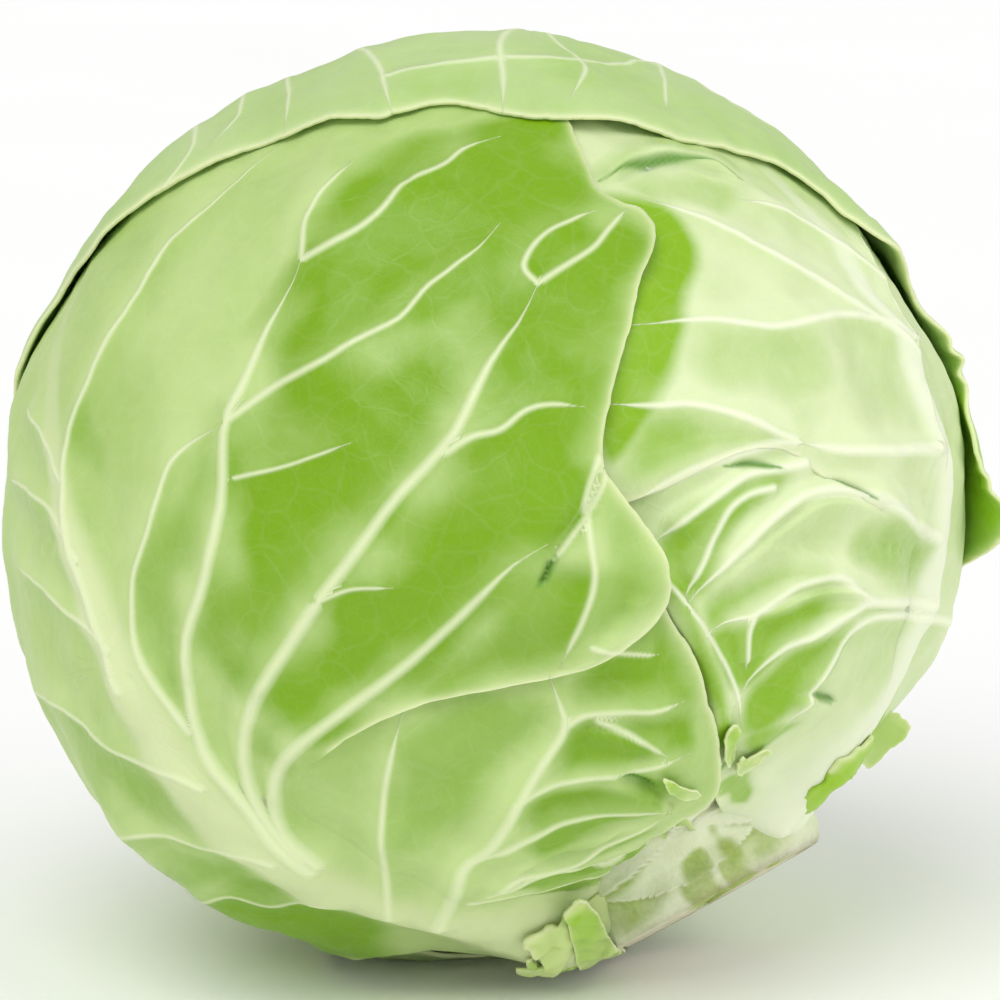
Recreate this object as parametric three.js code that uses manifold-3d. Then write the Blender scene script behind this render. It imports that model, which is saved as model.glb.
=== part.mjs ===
// A cabbage head as it lies on a table: a dense heart, five wrapper leaves laid one over the other, and
// the cut stump that they all grow from. Millimetres, +Z up, the table at z = 0.
//
// Every surface is a distance from the head's centre, given for a direction. A direction is stated in
// degrees as [longitude, polar angle] about the stem: polar angle 0 is the stump and 180 the crown, and
// longitude 0 faces a viewer who stands in front of the head, at -Y.

import * as THREE from "three";
import Module from "manifold-3d";
import { mergeVertices } from "three/addons/utils/BufferGeometryUtils.js";

const { Vector3 } = THREE;
const wasm = await Module();
wasm.setup();

// Driving dimensions, in millimetres and degrees
const HEAD_CENTRE = new Vector3(-1.9, 2.8, 77.8);
const HEART_HALF_HEIGHT = 74.7; // from the centre to the crown, along the stem's axis
const HEART_RADIUS = 77.2; // across the stem's axis
const HEART_LOPSIDED = 1.2; // how much fuller the head is on the viewer's left
const BASE_DIMPLE = 9; // how far the head draws in round the stump, on the side that faces the viewer
const BASE_DIMPLE_SIDES = 4; // and on the others
const BASE_DIMPLE_REACH = [18, 44]; // polar angles between which it draws in
const DIMPLE_FACING = [0.1, 0.45]; // how squarely a side faces the viewer, as a cosine, to count as front
const FLAT_SPOT_HEIGHT = 2.3; // the heart is pressed flat this far above the table
const MEAN_RADIUS = 80; // turns an angle on the head into a length

const STEM_TILT = 33.1; // of the stump from straight down
const STEM_HEADING = -29.8; // of the stump, from +X towards -Y
const VIEWER_ABOVE = 10; // longitude 0 faces a viewer who looks down by this much

const LAMINA = 1.2; // thickness of a leaf's blade
const LEAF_GAP = 0.65; // between a leaf and what it lies on
const LEAF_PITCH = LAMINA + LEAF_GAP;
const DRAPE_START = 3; // a leaf starts to come down this far past the margin of the one under it
const DRAPE_END = 24; // and lies on the next thing down from here on
const MARGIN_BAND = 16; // a lifted margin starts to rise this far inside it
const FLAT_SPOT_THICKNESS = 0.9 * LAMINA; // least height of a leaf's inner face above the table

const RIB_TAPER = { loss: 0.72, end: 0.8 }; // it loses this share of its width by this share of its length
const RIB_FALL = [0.25, 0.8]; // shares of its length between which it sinks into the blade
const STALK_END = 0.3; // share of its length over which it is thickened as a stalk
const WAVE_LEAN = { along: 0.8, out: 0.6 }; // heading of the herringbone, along the midrib and away from it
const WAVE_START = [0.6, 1.8]; // in midrib widths from the midrib's line

const GRID_PITCH = 8.8; // of the triangles that a leaf is made of
const SNAP = 0.32 * GRID_PITCH; // a grid point this near the outline is moved onto it
const HEART_DETAIL = 9; // splits of a ball's edges
const OUTLINE_POINTS = 150;
const MIDRIB_POINTS = 50;
const WELD = 1e-4; // points nearer than this are one

const STEM_CUT_AT = 77.6; // from the head's centre to the middle of the cut
const STEM_CUT_RADIUS = 21.8;
const STEM_NECK_RADIUS = 25.5;
const STEM_LENGTH = 21;
const STEM_SIDES = 40;
const STEM_CLEARANCE = 0.4; // between the stump and the leaves round it
const STALKS_BELOW_CUT = 0.6; // the leaf stalks end this far short of the stump's cut
const LEAF_SCARS = [
  { height: 0.7, count: 5, twist: 1.3 },
  { height: 0.4, count: 8, twist: -1 },
]; // ridges round the stump, turned a little from one ring to the next
// The stump from its cut inwards: [depth, radius]
const STUMP_PROFILE = [
  [0, STEM_CUT_RADIUS],
  [2.5, STEM_CUT_RADIUS + 0.7],
  [7, STEM_CUT_RADIUS + 1.3],
  [12, STEM_NECK_RADIUS],
  [17, STEM_NECK_RADIUS - 1],
  [STEM_LENGTH, STEM_NECK_RADIUS - 6],
];

const { degToRad: rad, clamp, lerp } = THREE.MathUtils;

// 0 up to `from`, 1 past `to`, with a soft step between.
const softStep = (x, from, to) => {
  const t = Math.min(1, Math.max(0, (x - from) / (to - from)));
  return t * t * (3 - 2 * t);
};

// The head's own axes: towards the stump, towards the viewer, and towards the viewer's right
const stemAxis = new Vector3(
  Math.sin(rad(STEM_TILT)) * Math.cos(rad(STEM_HEADING)),
  Math.sin(rad(STEM_TILT)) * Math.sin(rad(STEM_HEADING)),
  -Math.cos(rad(STEM_TILT)),
);
const towardsViewer = new Vector3(0, -Math.cos(rad(VIEWER_ABOVE)), Math.sin(rad(VIEWER_ABOVE)));
const frontAxis = towardsViewer
  .clone()
  .addScaledVector(stemAxis, -towardsViewer.dot(stemAxis))
  .normalize();
const rightAxis = new Vector3().crossVectors(frontAxis, stemAxis);

const onHead = ([longitude, polar]) =>
  new Vector3()
    .addScaledVector(stemAxis, Math.cos(rad(polar)))
    .addScaledVector(frontAxis, Math.sin(rad(polar)) * Math.cos(rad(longitude)))
    .addScaledVector(rightAxis, Math.sin(rad(polar)) * Math.sin(rad(longitude)));

// A smooth curve on the unit sphere through [longitude, polar] points, as evenly spread directions.
const curveOnHead = (points, count, closed) =>
  new THREE.CatmullRomCurve3(points.map(onHead), closed, "centripetal")
    .getSpacedPoints(count)
    .slice(0, closed ? count : count + 1)
    .map((p) => p.normalize());

// Places where the head is a little fuller or flatter than round: [longitude, polar angle, reach, rise]
const SWELLS = [
  [-55, 132, 26, 1.4],
  [-67, 84, 24, 1.3],
  [60, 122, 22, -1.6],
  [66, 98, 18, -1.0],
  [-66, 44, 18, -4],
  [-67, 22, 11, 2.4],
  [-68, 72, 18, 1.6],
  [-45, 147, 20, 1.2],
  [-63, 114, 12, -1],
  [71, 48, 15, -3],
  [-122, 31, 24, 3],
];
// A round bell-shaped bump
const bumpAt = (dir, [longitude, polar, reach, rise]) =>
  rise * Math.exp(-(((dir.angleTo(onHead([longitude, polar])) * MEAN_RADIUS) / reach) ** 2));

// The heart is an ellipsoid about the stem's axis, a little fuller on one side and drawn in round the
// stump.
const heartRadius = (dir) => {
  const along = dir.dot(stemAxis);
  const across = Math.sqrt(Math.max(0, 1 - along * along));
  const polar = THREE.MathUtils.radToDeg(Math.acos(clamp(along, -1, 1)));
  const front = softStep(dir.dot(frontAxis), ...DIMPLE_FACING);
  const dimple = lerp(BASE_DIMPLE_SIDES, BASE_DIMPLE, front) * (1 - softStep(polar, ...BASE_DIMPLE_REACH));
  return (
    1 / Math.hypot(along / HEART_HALF_HEIGHT, across / HEART_RADIUS) -
    HEART_LOPSIDED * dir.dot(rightAxis) -
    dimple +
    SWELLS.reduce((sum, swell) => sum + bumpAt(dir, swell), 0)
  );
};

// A leaf's blades: each has its outline, the way its midrib runs and the point that its triangles are
// laid out from. `over` names the blades that it lies on, and `joins` the blade of the same leaf that
// it runs into, within that reach of its own midrib.
const BLADES = {
  front: {
    centre: [10, 78],
    midrib: [[8, 18], [6, 45], [4, 80], [0, 115], [-5, 142]],
    rib: { height: 1.6, width: 11, stalk: 0 },
    waves: { height: 0, spacing: 28 },
    outline: [
      [8, 15], [26, 20], [30, 32], [48, 44], [64, 66], [68, 92], [60, 122], [36, 142],
      [-6, 150], [-34, 136], [-46, 112], [-48, 84], [-42, 58], [-22, 40], [-12, 26], [-8, 18],
    ],
    over: [],
  },
  under: {
    centre: [-132, 80],
    midrib: [[-128, 17], [-130, 45], [-134, 80], [-142, 115], [-152, 140]],
    rib: { height: 2.6, width: 10, stalk: 1.5 },
    waves: { height: 0.6, spacing: 28 },
    outline: [
      [-128, 14], [-106, 18], [-100, 30], [-84, 42], [-66, 60], [-58, 86], [-62, 112],
      [-84, 132], [-130, 148], [-176, 140], [-198, 118], [-204, 88], [-196, 60], [-176, 42],
      [-156, 32], [-148, 19],
    ],
    over: ["front"],
  },
  right_lobe: {
    centre: [44, 52],
    midrib: [[50, 17], [60, 32], [71, 46], [74, 56], [70, 70]],
    rib: { height: 3.2, width: 9, stalk: 3.5 },
    waves: { height: 0.8, spacing: 22 },
    outline: [
      [52, 15], [78, 20], [86, 38], [84, 58], [74, 74], [54, 84], [30, 88], [9, 84], [5, 74],
      [6, 67], [7, 61], [8, 54], [9, 47], [11, 38], [16, 28], [28, 18],
    ],
    over: ["front", "under"],
  },
  right: {
    centre: [64, 88],
    midrib: [[50, 17], [60, 32], [71, 45], [74, 53], [71, 64], [66, 76], [63, 90], [62, 104], [66, 122]],
    rib: { height: 3.4, width: 9, stalk: 3.5 },
    waves: { height: 0.6, spacing: 30 },
    outline: [
      [54, 15], [82, 18], [96, 30], [112, 42], [126, 58], [132, 84], [130, 110], [116, 130],
      [84, 144], [44, 146], [16, 134], [2, 114], [-2, 94], [4, 79], [15, 75.8], [29, 75.4],
      [35, 73.5], [41, 68], [49, 62.5], [60, 57], [62, 45], [50, 30], [36, 18],
    ],
    over: ["front", "under", "right_lobe"],
    joins: { blade: "right_lobe", reach: [13, 27] },
  },
  left_lobe: {
    centre: [-34, 50],
    midrib: [[-60, 17], [-54, 36], [-54, 52], [-52, 66], [-50, 78]],
    rib: { height: 3.4, width: 10.5, stalk: 3 },
    waves: { height: 0.8, spacing: 22 },
    outline: [
      [-62, 15], [-36, 16], [-30, 22], [-18, 25], [-8, 25.5], [-4, 31], [3, 36], [10, 37], [14, 45],
      [14, 52], [14, 57], [13, 62], [12, 67], [4, 74], [-20, 80], [-46, 82], [-62, 75],
      [-69, 60], [-70, 42], [-72, 24],
    ],
    over: ["front", "under", "right_lobe", "right"],
  },
  left: {
    centre: [-52, 90],
    midrib: [[-60, 17], [-54, 36], [-54, 52], [-51, 72], [-49, 92], [-50, 112], [-55, 132], [-58, 150]],
    rib: { height: 3.4, width: 10.5, stalk: 3 },
    waves: { height: 0.6, spacing: 30 },
    outline: [
      [-62, 15], [-80, 18], [-78, 28], [-78, 37], [-81, 43], [-92, 47], [-110, 52], [-124, 63],
      [-130, 82], [-131, 105],
      [-128, 130], [-104, 150], [-50, 158], [4, 150], [34, 136], [36, 124], [32, 114], [30, 108.5],
      [33.5, 105], [32.5, 101.5], [27, 97], [22, 92], [18, 88], [14, 83.5], [12.5, 80], [13.5, 74],
      [14, 69], [12.5, 65], [8, 63], [0, 62.8], [-9, 64.6], [-18, 67.4], [-30, 68.5], [-40, 66],
      [-38, 50], [-36, 34], [-34, 18],
    ],
    over: ["front", "under", "right_lobe", "right", "left_lobe"],
    joins: { blade: "left_lobe", reach: [13, 27] },
  },
  torn_right: {
    centre: [68, 25],
    midrib: [[48, 22], [64, 22], [82, 23]],
    rib: { height: 0, width: 7, stalk: 0 },
    waves: { height: 0.5, spacing: 9 },
    outline: [
      [49, 21], [56, 18], [66, 17], [76, 18], [85, 25], [86, 31], [80, 35.5], [75, 33.5], [69, 31],
      [62, 32], [55, 30.5], [50, 27],
    ],
    over: ["front", "under", "right"],
    joins: { blade: "right", reach: [2, 8] },
  },
  torn_low: {
    centre: [-52, 20],
    midrib: [[-36, 18], [-52, 19], [-72, 18]],
    rib: { height: 0, width: 6, stalk: 0 },
    waves: { height: 0.4, spacing: 8 },
    outline: [
      [-36, 14.5], [-52, 13], [-70, 14.5], [-76, 21], [-66, 26], [-57, 24], [-50, 29], [-43, 26],
      [-38, 22],
    ],
    over: ["front", "under", "left"],
    joins: { blade: "left", reach: [2, 6] },
  },
  back: {
    centre: [176, 104],
    midrib: [[176, 17], [178, 45], [180, 80], [182, 115], [190, 145]],
    rib: { height: 3.4, width: 10, stalk: 2 },
    waves: { height: 0.7, spacing: 30 },
    outline: [
      [176, 14], [150, 19], [146, 32], [134, 43], [118, 50], [104, 53], [94, 55], [88, 57.5], [86, 61],
      [81, 65], [79, 72], [83, 77], [82, 82], [75, 87], [69, 92], [65, 97], [61, 102],
      [55, 107.5], [46, 112], [43, 116], [34.5, 121], [28, 125.5],
      [22, 129.5], [13, 131.5], [6, 136], [-5, 140], [-18, 142], [-31, 142.4], [-46, 141],
      [-64, 140], [-74, 135], [-92, 124], [-112, 108], [-128, 88], [-140, 66], [-150, 44],
      [-158, 24], [-168, 18],
    ],
    over: ["front", "under", "right_lobe", "right", "left_lobe", "left"],
  },
};

// Margins that stand away from the head: [blade, longitude, polar angle, reach on the head, lift]
const LIFTED_MARGINS = [
  ["back", 86, 60, 6.5, 6.6],
  ["back", 80, 69, 8, 2.0],
  ["back", 83, 80, 8, 4.2],
  ["back", 72, 90, 9, 1.6],
  ["back", 10, 133, 12, 1.0],
  ["back", -146, 52, 16, 1.6],
  ["left", 13, 67, 9, 1.0],
  ["left", -122, 57, 14, 0.8],
];

// The straight distance from a point to the nearest of a chain of segments, on the mean sphere, and how
// far along the chain that is, from 0 to 1.
const toChain = (dir, chain, closed) => {
  let best = Infinity;
  let along = 0;
  const segments = closed ? chain.length : chain.length - 1;
  const edge = new Vector3();
  const offset = new Vector3();
  for (let i = 0; i < segments; i++) {
    edge.subVectors(chain[(i + 1) % chain.length], chain[i]);
    offset.subVectors(dir, chain[i]);
    const t = clamp(offset.dot(edge) / edge.lengthSq(), 0, 1);
    const distance = offset.addScaledVector(edge, -t).length();
    if (distance < best) {
      best = distance;
      along = (i + t) / segments;
    }
  }
  return { distance: best * MEAN_RADIUS, along };
};

// The blade's own map: directions laid out flat round its centre, at true distance from it.
const mapOf = (centreAngles) => {
  const centre = onHead(centreAngles);
  const up = stemAxis.clone().negate();
  up.addScaledVector(centre, -up.dot(centre)).normalize();
  const side = new Vector3().crossVectors(up, centre);
  return {
    flat: (dir) => {
      const x = dir.dot(side);
      const y = dir.dot(up);
      const reach = Math.hypot(x, y) || 1;
      const angle = Math.acos(clamp(dir.dot(centre), -1, 1));
      return [(x / reach) * angle * MEAN_RADIUS, (y / reach) * angle * MEAN_RADIUS];
    },
    direction: ([x, y]) => {
      const angle = Math.hypot(x, y) / MEAN_RADIUS;
      const scale = angle > 0 ? Math.sin(angle) / (angle * MEAN_RADIUS) : 0;
      return new Vector3()
        .addScaledVector(centre, Math.cos(angle))
        .addScaledVector(side, x * scale)
        .addScaledVector(up, y * scale)
        .normalize();
    },
  };
};

// Whether a flat point is inside a closed flat polygon.
const isInside = ([x, y], polygon) => {
  let inside = false;
  polygon.forEach(([ax, ay], i) => {
    const [bx, by] = polygon[(i + 1) % polygon.length];
    if (ay > y !== by > y && x < ((bx - ax) * (y - ay)) / (by - ay) + ax) inside = !inside;
  });
  return inside;
};

const blades = {};
for (const [name, spec] of Object.entries(BLADES)) {
  const map = mapOf(spec.centre);
  const outlineDirs = curveOnHead(spec.outline, OUTLINE_POINTS, true);
  const midribDirs = curveOnHead(spec.midrib, MIDRIB_POINTS, false);
  const steps = midribDirs.slice(1).map((dir, i) => dir.distanceTo(midribDirs[i]) * MEAN_RADIUS);
  blades[name] = {
    ...spec,
    map,
    outlineDirs,
    midribDirs,
    flatOutline: outlineDirs.map(map.flat),
    length: steps.reduce((sum, step) => sum + step),
    lifts: LIFTED_MARGINS.filter(([leaf]) => leaf === name).map(([, ...bump]) => bump),
  };
}

// How far inside the blade's margin a direction lies, in mm, negative outside it.
const insideMargin = (blade, dir) => {
  const { distance } = toChain(dir, blade.outlineDirs, true);
  return isInside(blade.map.flat(dir), blade.flatOutline) ? distance : -distance;
};

// The midrib is a low round ridge that is broad at the stump and runs out towards the tip.
const ribRise = (blade, dir) => {
  const { distance, along } = toChain(dir, blade.midribDirs, false);
  const width = blade.rib.width * (1 - RIB_TAPER.loss * softStep(along, 0, RIB_TAPER.end));
  const height =
    blade.rib.height * (1 - softStep(along, ...RIB_FALL)) +
    blade.rib.stalk * (1 - softStep(along, 0, STALK_END));
  return height * Math.exp(-((distance / width) ** 2));
};

// Between its side veins a blade bulges a little, in a herringbone on both sides of the midrib.
const bulge = (blade, dir) => {
  const { distance, along } = toChain(dir, blade.midribDirs, false);
  const phase = (WAVE_LEAN.along * along * blade.length + WAVE_LEAN.out * distance) / blade.waves.spacing;
  const beside = softStep(distance / blade.rib.width, ...WAVE_START);
  return 0.5 * blade.waves.height * (1 - Math.cos(2 * Math.PI * phase)) * beside;
};

// How far a leaf's margin stands away from what the leaf lies on.
const marginLift = (blade, dir, inside) =>
  (1 - softStep(inside, 0, MARGIN_BAND)) *
  blade.lifts.reduce((sum, lift) => sum + bumpAt(dir, lift), 0);

// How far a leaf is held off the heart by the leaves under it.
const packedUnder = (blade, dir) =>
  blade.over.reduce((height, below) => {
    const under = blades[below];
    const inside = insideMargin(under, dir);
    const cover = softStep(inside, -DRAPE_END, -DRAPE_START);
    if (cover === 0) return height;
    const raised = bulge(under, dir) + marginLift(under, dir, inside);
    if (blade.joins?.blade !== below) {
      return height + cover * (LEAF_PITCH + ribRise(under, dir) + raised);
    }
    // Two blades of one leaf run into each other where they grow from it.
    const rib = below.endsWith("_lobe") ? 0 : ribRise(under, dir);
    const apart = softStep(toChain(dir, blade.midribDirs, false).distance, ...blade.joins.reach);
    return height + cover * (apart * (LEAF_PITCH + raised) + rib);
  }, 0);

// Distances of a blade's inner and outer face from the head's centre.
const leafRadii = (blade, dir) => {
  const inside = insideMargin(blade, dir);
  const inner =
    heartRadius(dir) +
    LEAF_GAP +
    packedUnder(blade, dir) +
    bulge(blade, dir) +
    marginLift(blade, dir, inside);
  return [inner, inner + LAMINA + ribRise(blade, dir)];
};

// A point of the object: along a direction from the head's centre, and never below the table.
const place = (dir, radius, floor = 0) => {
  const point = dir.clone().multiplyScalar(radius).add(HEAD_CENTRE);
  point.z = Math.max(point.z, floor);
  return point;
};

// A closed mesh with its shared points merged, ready for joining and cutting.
const manifoldOf = (geometry) => {
  const bare = geometry.clone();
  bare.deleteAttribute("normal");
  bare.deleteAttribute("uv");
  const merged = mergeVertices(bare, WELD);
  return new wasm.Manifold(
    new wasm.Mesh({
      numProp: 3,
      vertProperties: new Float32Array(merged.attributes.position.array),
      triVerts: new Uint32Array(merged.index.array),
    }),
  );
};

const solidOf = (vertices, triangles) => {
  const geometry = new THREE.BufferGeometry();
  const positions = vertices.flatMap((vertex) => vertex.toArray());
  geometry.setAttribute("position", new THREE.Float32BufferAttribute(positions, 3));
  geometry.setIndex(triangles.flat());
  return manifoldOf(geometry);
};

const geometryOf = (solid) => {
  const mesh = solid.getMesh();
  const geometry = new THREE.BufferGeometry();
  geometry.setAttribute("position", new THREE.BufferAttribute(mesh.vertProperties, 3));
  geometry.setIndex(new THREE.BufferAttribute(mesh.triVerts, 1));
  geometry.computeVertexNormals();
  return geometry;
};

// The nearest point of a closed flat polygon, and its distance.
const nearestOnOutline = ([x, y], polygon) => {
  let best = { distance: Infinity };
  polygon.forEach(([ax, ay], i) => {
    const [bx, by] = polygon[(i + 1) % polygon.length];
    const length = (bx - ax) ** 2 + (by - ay) ** 2;
    const t = THREE.MathUtils.clamp(((x - ax) * (bx - ax) + (y - ay) * (by - ay)) / length, 0, 1);
    const point = [ax + t * (bx - ax), ay + t * (by - ay)];
    const distance = Math.hypot(x - point[0], y - point[1]);
    if (distance < best.distance) best = { distance, point };
  });
  return best;
};

// A blade as a closed solid: a flat grid cut along the blade's outline, then laid on the head twice, once
// for each face, and joined round the margin.
const bladeSolid = (blade) => {
  const xs = blade.flatOutline.map(([x]) => x);
  const ys = blade.flatOutline.map(([, y]) => y);
  const columns = Math.ceil((Math.max(...xs) - Math.min(...xs)) / GRID_PITCH) + 2;
  const rows = Math.ceil((Math.max(...ys) - Math.min(...ys)) / GRID_PITCH) + 2;
  const points = [];
  const inside = [];
  for (let row = 0; row <= rows; row++) {
    for (let column = 0; column <= columns; column++) {
      const flat = [
        Math.min(...xs) + (column - 1) * GRID_PITCH,
        Math.min(...ys) + (row - 1) * GRID_PITCH,
      ];
      const nearest = nearestOnOutline(flat, blade.flatOutline);
      const snapped = nearest.distance < SNAP;
      const signed = isInside(flat, blade.flatOutline) ? nearest.distance : -nearest.distance;
      points.push(snapped ? nearest.point : flat);
      inside.push(snapped ? 0 : signed);
    }
  }

  // Where the outline crosses a grid line, the two triangles there share one new point.
  const cuts = new Map();
  const cutBetween = (a, b) => {
    const key = a < b ? `${a}_${b}` : `${b}_${a}`;
    if (!cuts.has(key)) {
      const t = inside[a] / (inside[a] - inside[b]);
      cuts.set(key, points.length);
      points.push(points[a].map((v, i) => v + t * (points[b][i] - v)));
      inside.push(0);
    }
    return cuts.get(key);
  };
  const triangles = [];
  const clip = (corners) => {
    const kept = [];
    corners.forEach((a, i) => {
      const b = corners[(i + 1) % 3];
      if (inside[a] >= 0) kept.push(a);
      if (inside[a] * inside[b] < 0) kept.push(cutBetween(a, b));
    });
    const ring = kept.filter((v, i) => v !== kept[(i + 1) % kept.length]);
    if (ring.length < 3 || ring.every((v) => inside[v] === 0)) return;
    for (let i = 1; i + 1 < ring.length; i++) triangles.push([ring[0], ring[i], ring[i + 1]]);
  };
  const stride = columns + 1;
  for (let row = 0; row < rows; row++) {
    for (let column = 0; column < columns; column++) {
      const a = row * stride + column;
      const [b, c, d] = [a + 1, a + 1 + stride, a + stride];
      const halves = (row + column) % 2 ? [[a, b, c], [a, c, d]] : [[a, b, d], [b, c, d]];
      halves.forEach(clip);
    }
  }

  const used = [...new Set(triangles.flat())];
  const number = new Map(used.map((v, i) => [v, i]));
  const outer = [];
  const inner = [];
  for (const v of used) {
    const dir = blade.map.direction(points[v]);
    const [low, high] = leafRadii(blade, dir);
    outer.push(place(dir, high));
    inner.push(place(dir, low, FLAT_SPOT_THICKNESS));
  }
  const faces = [];
  const open = new Map();
  for (const triangle of triangles) {
    const [a, b, c] = triangle.map((v) => number.get(v));
    faces.push([a, b, c], [c + used.length, b + used.length, a + used.length]);
    for (const [p, q] of [[a, b], [b, c], [c, a]]) {
      if (!open.delete(`${q}_${p}`)) open.set(`${p}_${q}`, [p, q]);
    }
  }
  for (const [p, q] of open.values()) {
    faces.push([q, p, p + used.length], [q, p + used.length, q + used.length]);
  }
  return solidOf([...outer, ...inner], faces);
};

// The stump: a short cone about the stem's axis, knobbly with old leaf scars, with a flat knife cut.
// `grow` makes it that much larger all round.
const stumpSolid = (grow) => {
  const vertices = [];
  STUMP_PROFILE.forEach(([depth, radius], ring) => {
    const end = { 0: grow, [STUMP_PROFILE.length - 1]: -grow }[ring] ?? 0;
    for (let i = 0; i < STEM_SIDES; i++) {
      const turn = (2 * Math.PI * i) / STEM_SIDES;
      const scars = LEAF_SCARS.map((s) => s.height * Math.sin(s.count * turn + s.twist * ring));
      const reach = radius + grow + (ring === 0 ? 0 : scars[0] + scars[1]);
      vertices.push(
        HEAD_CENTRE.clone()
          .addScaledVector(stemAxis, STEM_CUT_AT - depth + end)
          .addScaledVector(frontAxis, reach * Math.cos(turn))
          .addScaledVector(rightAxis, reach * Math.sin(turn)),
      );
    }
  });
  const faces = [];
  for (let ring = 0; ring + 1 < STUMP_PROFILE.length; ring++) {
    for (let i = 0; i < STEM_SIDES; i++) {
      const a = ring * STEM_SIDES + i;
      const b = ring * STEM_SIDES + ((i + 1) % STEM_SIDES);
      faces.push([a, b, b + STEM_SIDES], [a, b + STEM_SIDES, a + STEM_SIDES]);
    }
  }
  const last = (STUMP_PROFILE.length - 1) * STEM_SIDES;
  for (let i = 1; i + 1 < STEM_SIDES; i++) {
    faces.push([0, i + 1, i], [last, last + i, last + i + 1]);
  }
  return solidOf(vertices, faces);
};

// The heart: a ball drawn out to its radius in each direction, pressed flat underneath.
const heartSolid = () => {
  const ball = new THREE.IcosahedronGeometry(1, HEART_DETAIL);
  const position = ball.attributes.position;
  for (let i = 0; i < position.count; i++) {
    const dir = new Vector3().fromBufferAttribute(position, i).normalize();
    position.setXYZ(i, ...place(dir, heartRadius(dir), FLAT_SPOT_HEIGHT).toArray());
  }
  return manifoldOf(ball);
};

const finish = (name, color, roughness) => {
  const material = new THREE.MeshStandardMaterial({ color, roughness, metalness: 0 });
  material.name = name;
  return material;
};
const LEAF_FINISH = finish("outer leaf", 0xa9cf62, 0.5);
const BACK_FINISH = finish("back leaf", 0xb4d27a, 0.5);
const HEART_FINISH = finish("inner leaves", 0xdbe8a8, 0.5);
const STUMP_FINISH = finish("stump", 0xe4e8c4, 0.7);

const cabbage = new THREE.Group();
const add = (name, solid, material) => {
  const mesh = new THREE.Mesh(geometryOf(solid), material);
  mesh.name = name;
  cabbage.add(mesh);
};

const stump = stumpSolid(0);
const roomForStump = stumpSolid(STEM_CLEARANCE);
const largest = (solid) => solid.decompose().reduce((a, b) => (a.volume() > b.volume() ? a : b));
// The knife that cut the stump also took the ends of the leaf stalks.
const trimmed = (solid) =>
  largest(
    solid
      .subtract(roomForStump)
      .trimByPlane(
        stemAxis.clone().negate().toArray(),
        -HEAD_CENTRE.dot(stemAxis) - (STEM_CUT_AT - STALKS_BELOW_CUT),
      ),
  );
const leaf = (...parts) => {
  const solids = parts.map((part) => bladeSolid(blades[part]));
  return trimmed(solids.reduce((a, b) => a.add(b)));
};

add("stump", stump, STUMP_FINISH);
add("heart", trimmed(heartSolid()), HEART_FINISH);
add("leaf_front", leaf("front"), LEAF_FINISH);
add("leaf_under", leaf("under"), BACK_FINISH);
add("leaf_right", leaf("right", "right_lobe", "torn_right"), LEAF_FINISH);
add("leaf_left", leaf("left", "left_lobe", "torn_low"), LEAF_FINISH);
add("leaf_back", leaf("back"), BACK_FINISH);

export default cabbage;
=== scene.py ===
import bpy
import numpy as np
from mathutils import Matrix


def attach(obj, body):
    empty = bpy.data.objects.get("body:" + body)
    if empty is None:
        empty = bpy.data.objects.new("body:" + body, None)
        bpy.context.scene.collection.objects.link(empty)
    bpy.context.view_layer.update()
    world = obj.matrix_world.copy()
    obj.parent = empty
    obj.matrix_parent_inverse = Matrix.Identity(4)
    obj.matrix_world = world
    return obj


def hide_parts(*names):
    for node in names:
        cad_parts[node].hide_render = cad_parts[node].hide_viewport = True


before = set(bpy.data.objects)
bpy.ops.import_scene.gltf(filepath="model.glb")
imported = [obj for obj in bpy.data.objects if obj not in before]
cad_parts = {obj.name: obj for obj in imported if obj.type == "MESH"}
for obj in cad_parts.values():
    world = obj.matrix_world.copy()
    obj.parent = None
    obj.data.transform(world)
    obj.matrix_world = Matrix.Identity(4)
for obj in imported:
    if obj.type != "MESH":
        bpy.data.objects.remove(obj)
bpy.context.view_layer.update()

# A green cabbage head on its side. Every leaf is a thin sheet laid on the one under it, so a surface
# here is a distance from the head's centre for each direction from it. Lengths are in millimetres
# until a mesh is written, and the head's angles are the model's own: longitude and polar angle about
# the stem, in degrees, polar angle 0 at the stump and longitude 0 towards the viewer.

MM = 0.001

# The head, as the model has it
HEAD_CENTRE = np.array([-1.9, 2.8, 77.8])
HEART_HALF_HEIGHT = 74.7
HEART_RADIUS = 77.2
HEART_LOPSIDED = 1.2
BASE_DIMPLE = 9
BASE_DIMPLE_SIDES = 4
BASE_DIMPLE_FROM, BASE_DIMPLE_TO = 18, 44
FLAT_SPOT_HEIGHT = 2.3
MEAN_RADIUS = 80

STEM_TILT, STEM_HEADING = 33.1, -29.8
VIEWER_ABOVE = 10

LAMINA = 1.2
LAMINA_AT_MARGIN = 0.6
LEAF_GAP = 0.65
LEAF_PITCH = LAMINA + LEAF_GAP
DRAPE_START, DRAPE_END = 3, 24
MARGIN_BAND = 16

STEM_CUT_AT = 77.6
STEM_CUT_RADIUS = 21.8
STEM_NECK_RADIUS = 25.5
STEM_LENGTH = 21

# The photograph's view: its centre pixel, the pixel that the head's centre falls on, and its scale
PICTURE_CENTRE = (500, 500)
HEAD_PIXEL = (488, 502)
PIXELS_PER_MM = 5.87
CAMERA_DISTANCE = 800
SENSOR = 36.0
LENS = SENSOR * PIXELS_PER_MM * CAMERA_DISTANCE / 1000

ROW_SPACING = 0.62  # of a leaf's mesh from its middle to its margin
COLUMN_SPACING = 0.95  # and round its margin


def unit(vectors):
    """Each row over its own length."""
    return vectors / np.linalg.norm(vectors, axis=-1, keepdims=True)


def soft_step(x, start, end):
    """0 up to start, 1 past end, and the smooth cubic 3t^2 - 2t^3 between them."""
    t = np.clip((x - start) / (end - start), 0, 1)
    return t * t * (3 - 2 * t)


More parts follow.
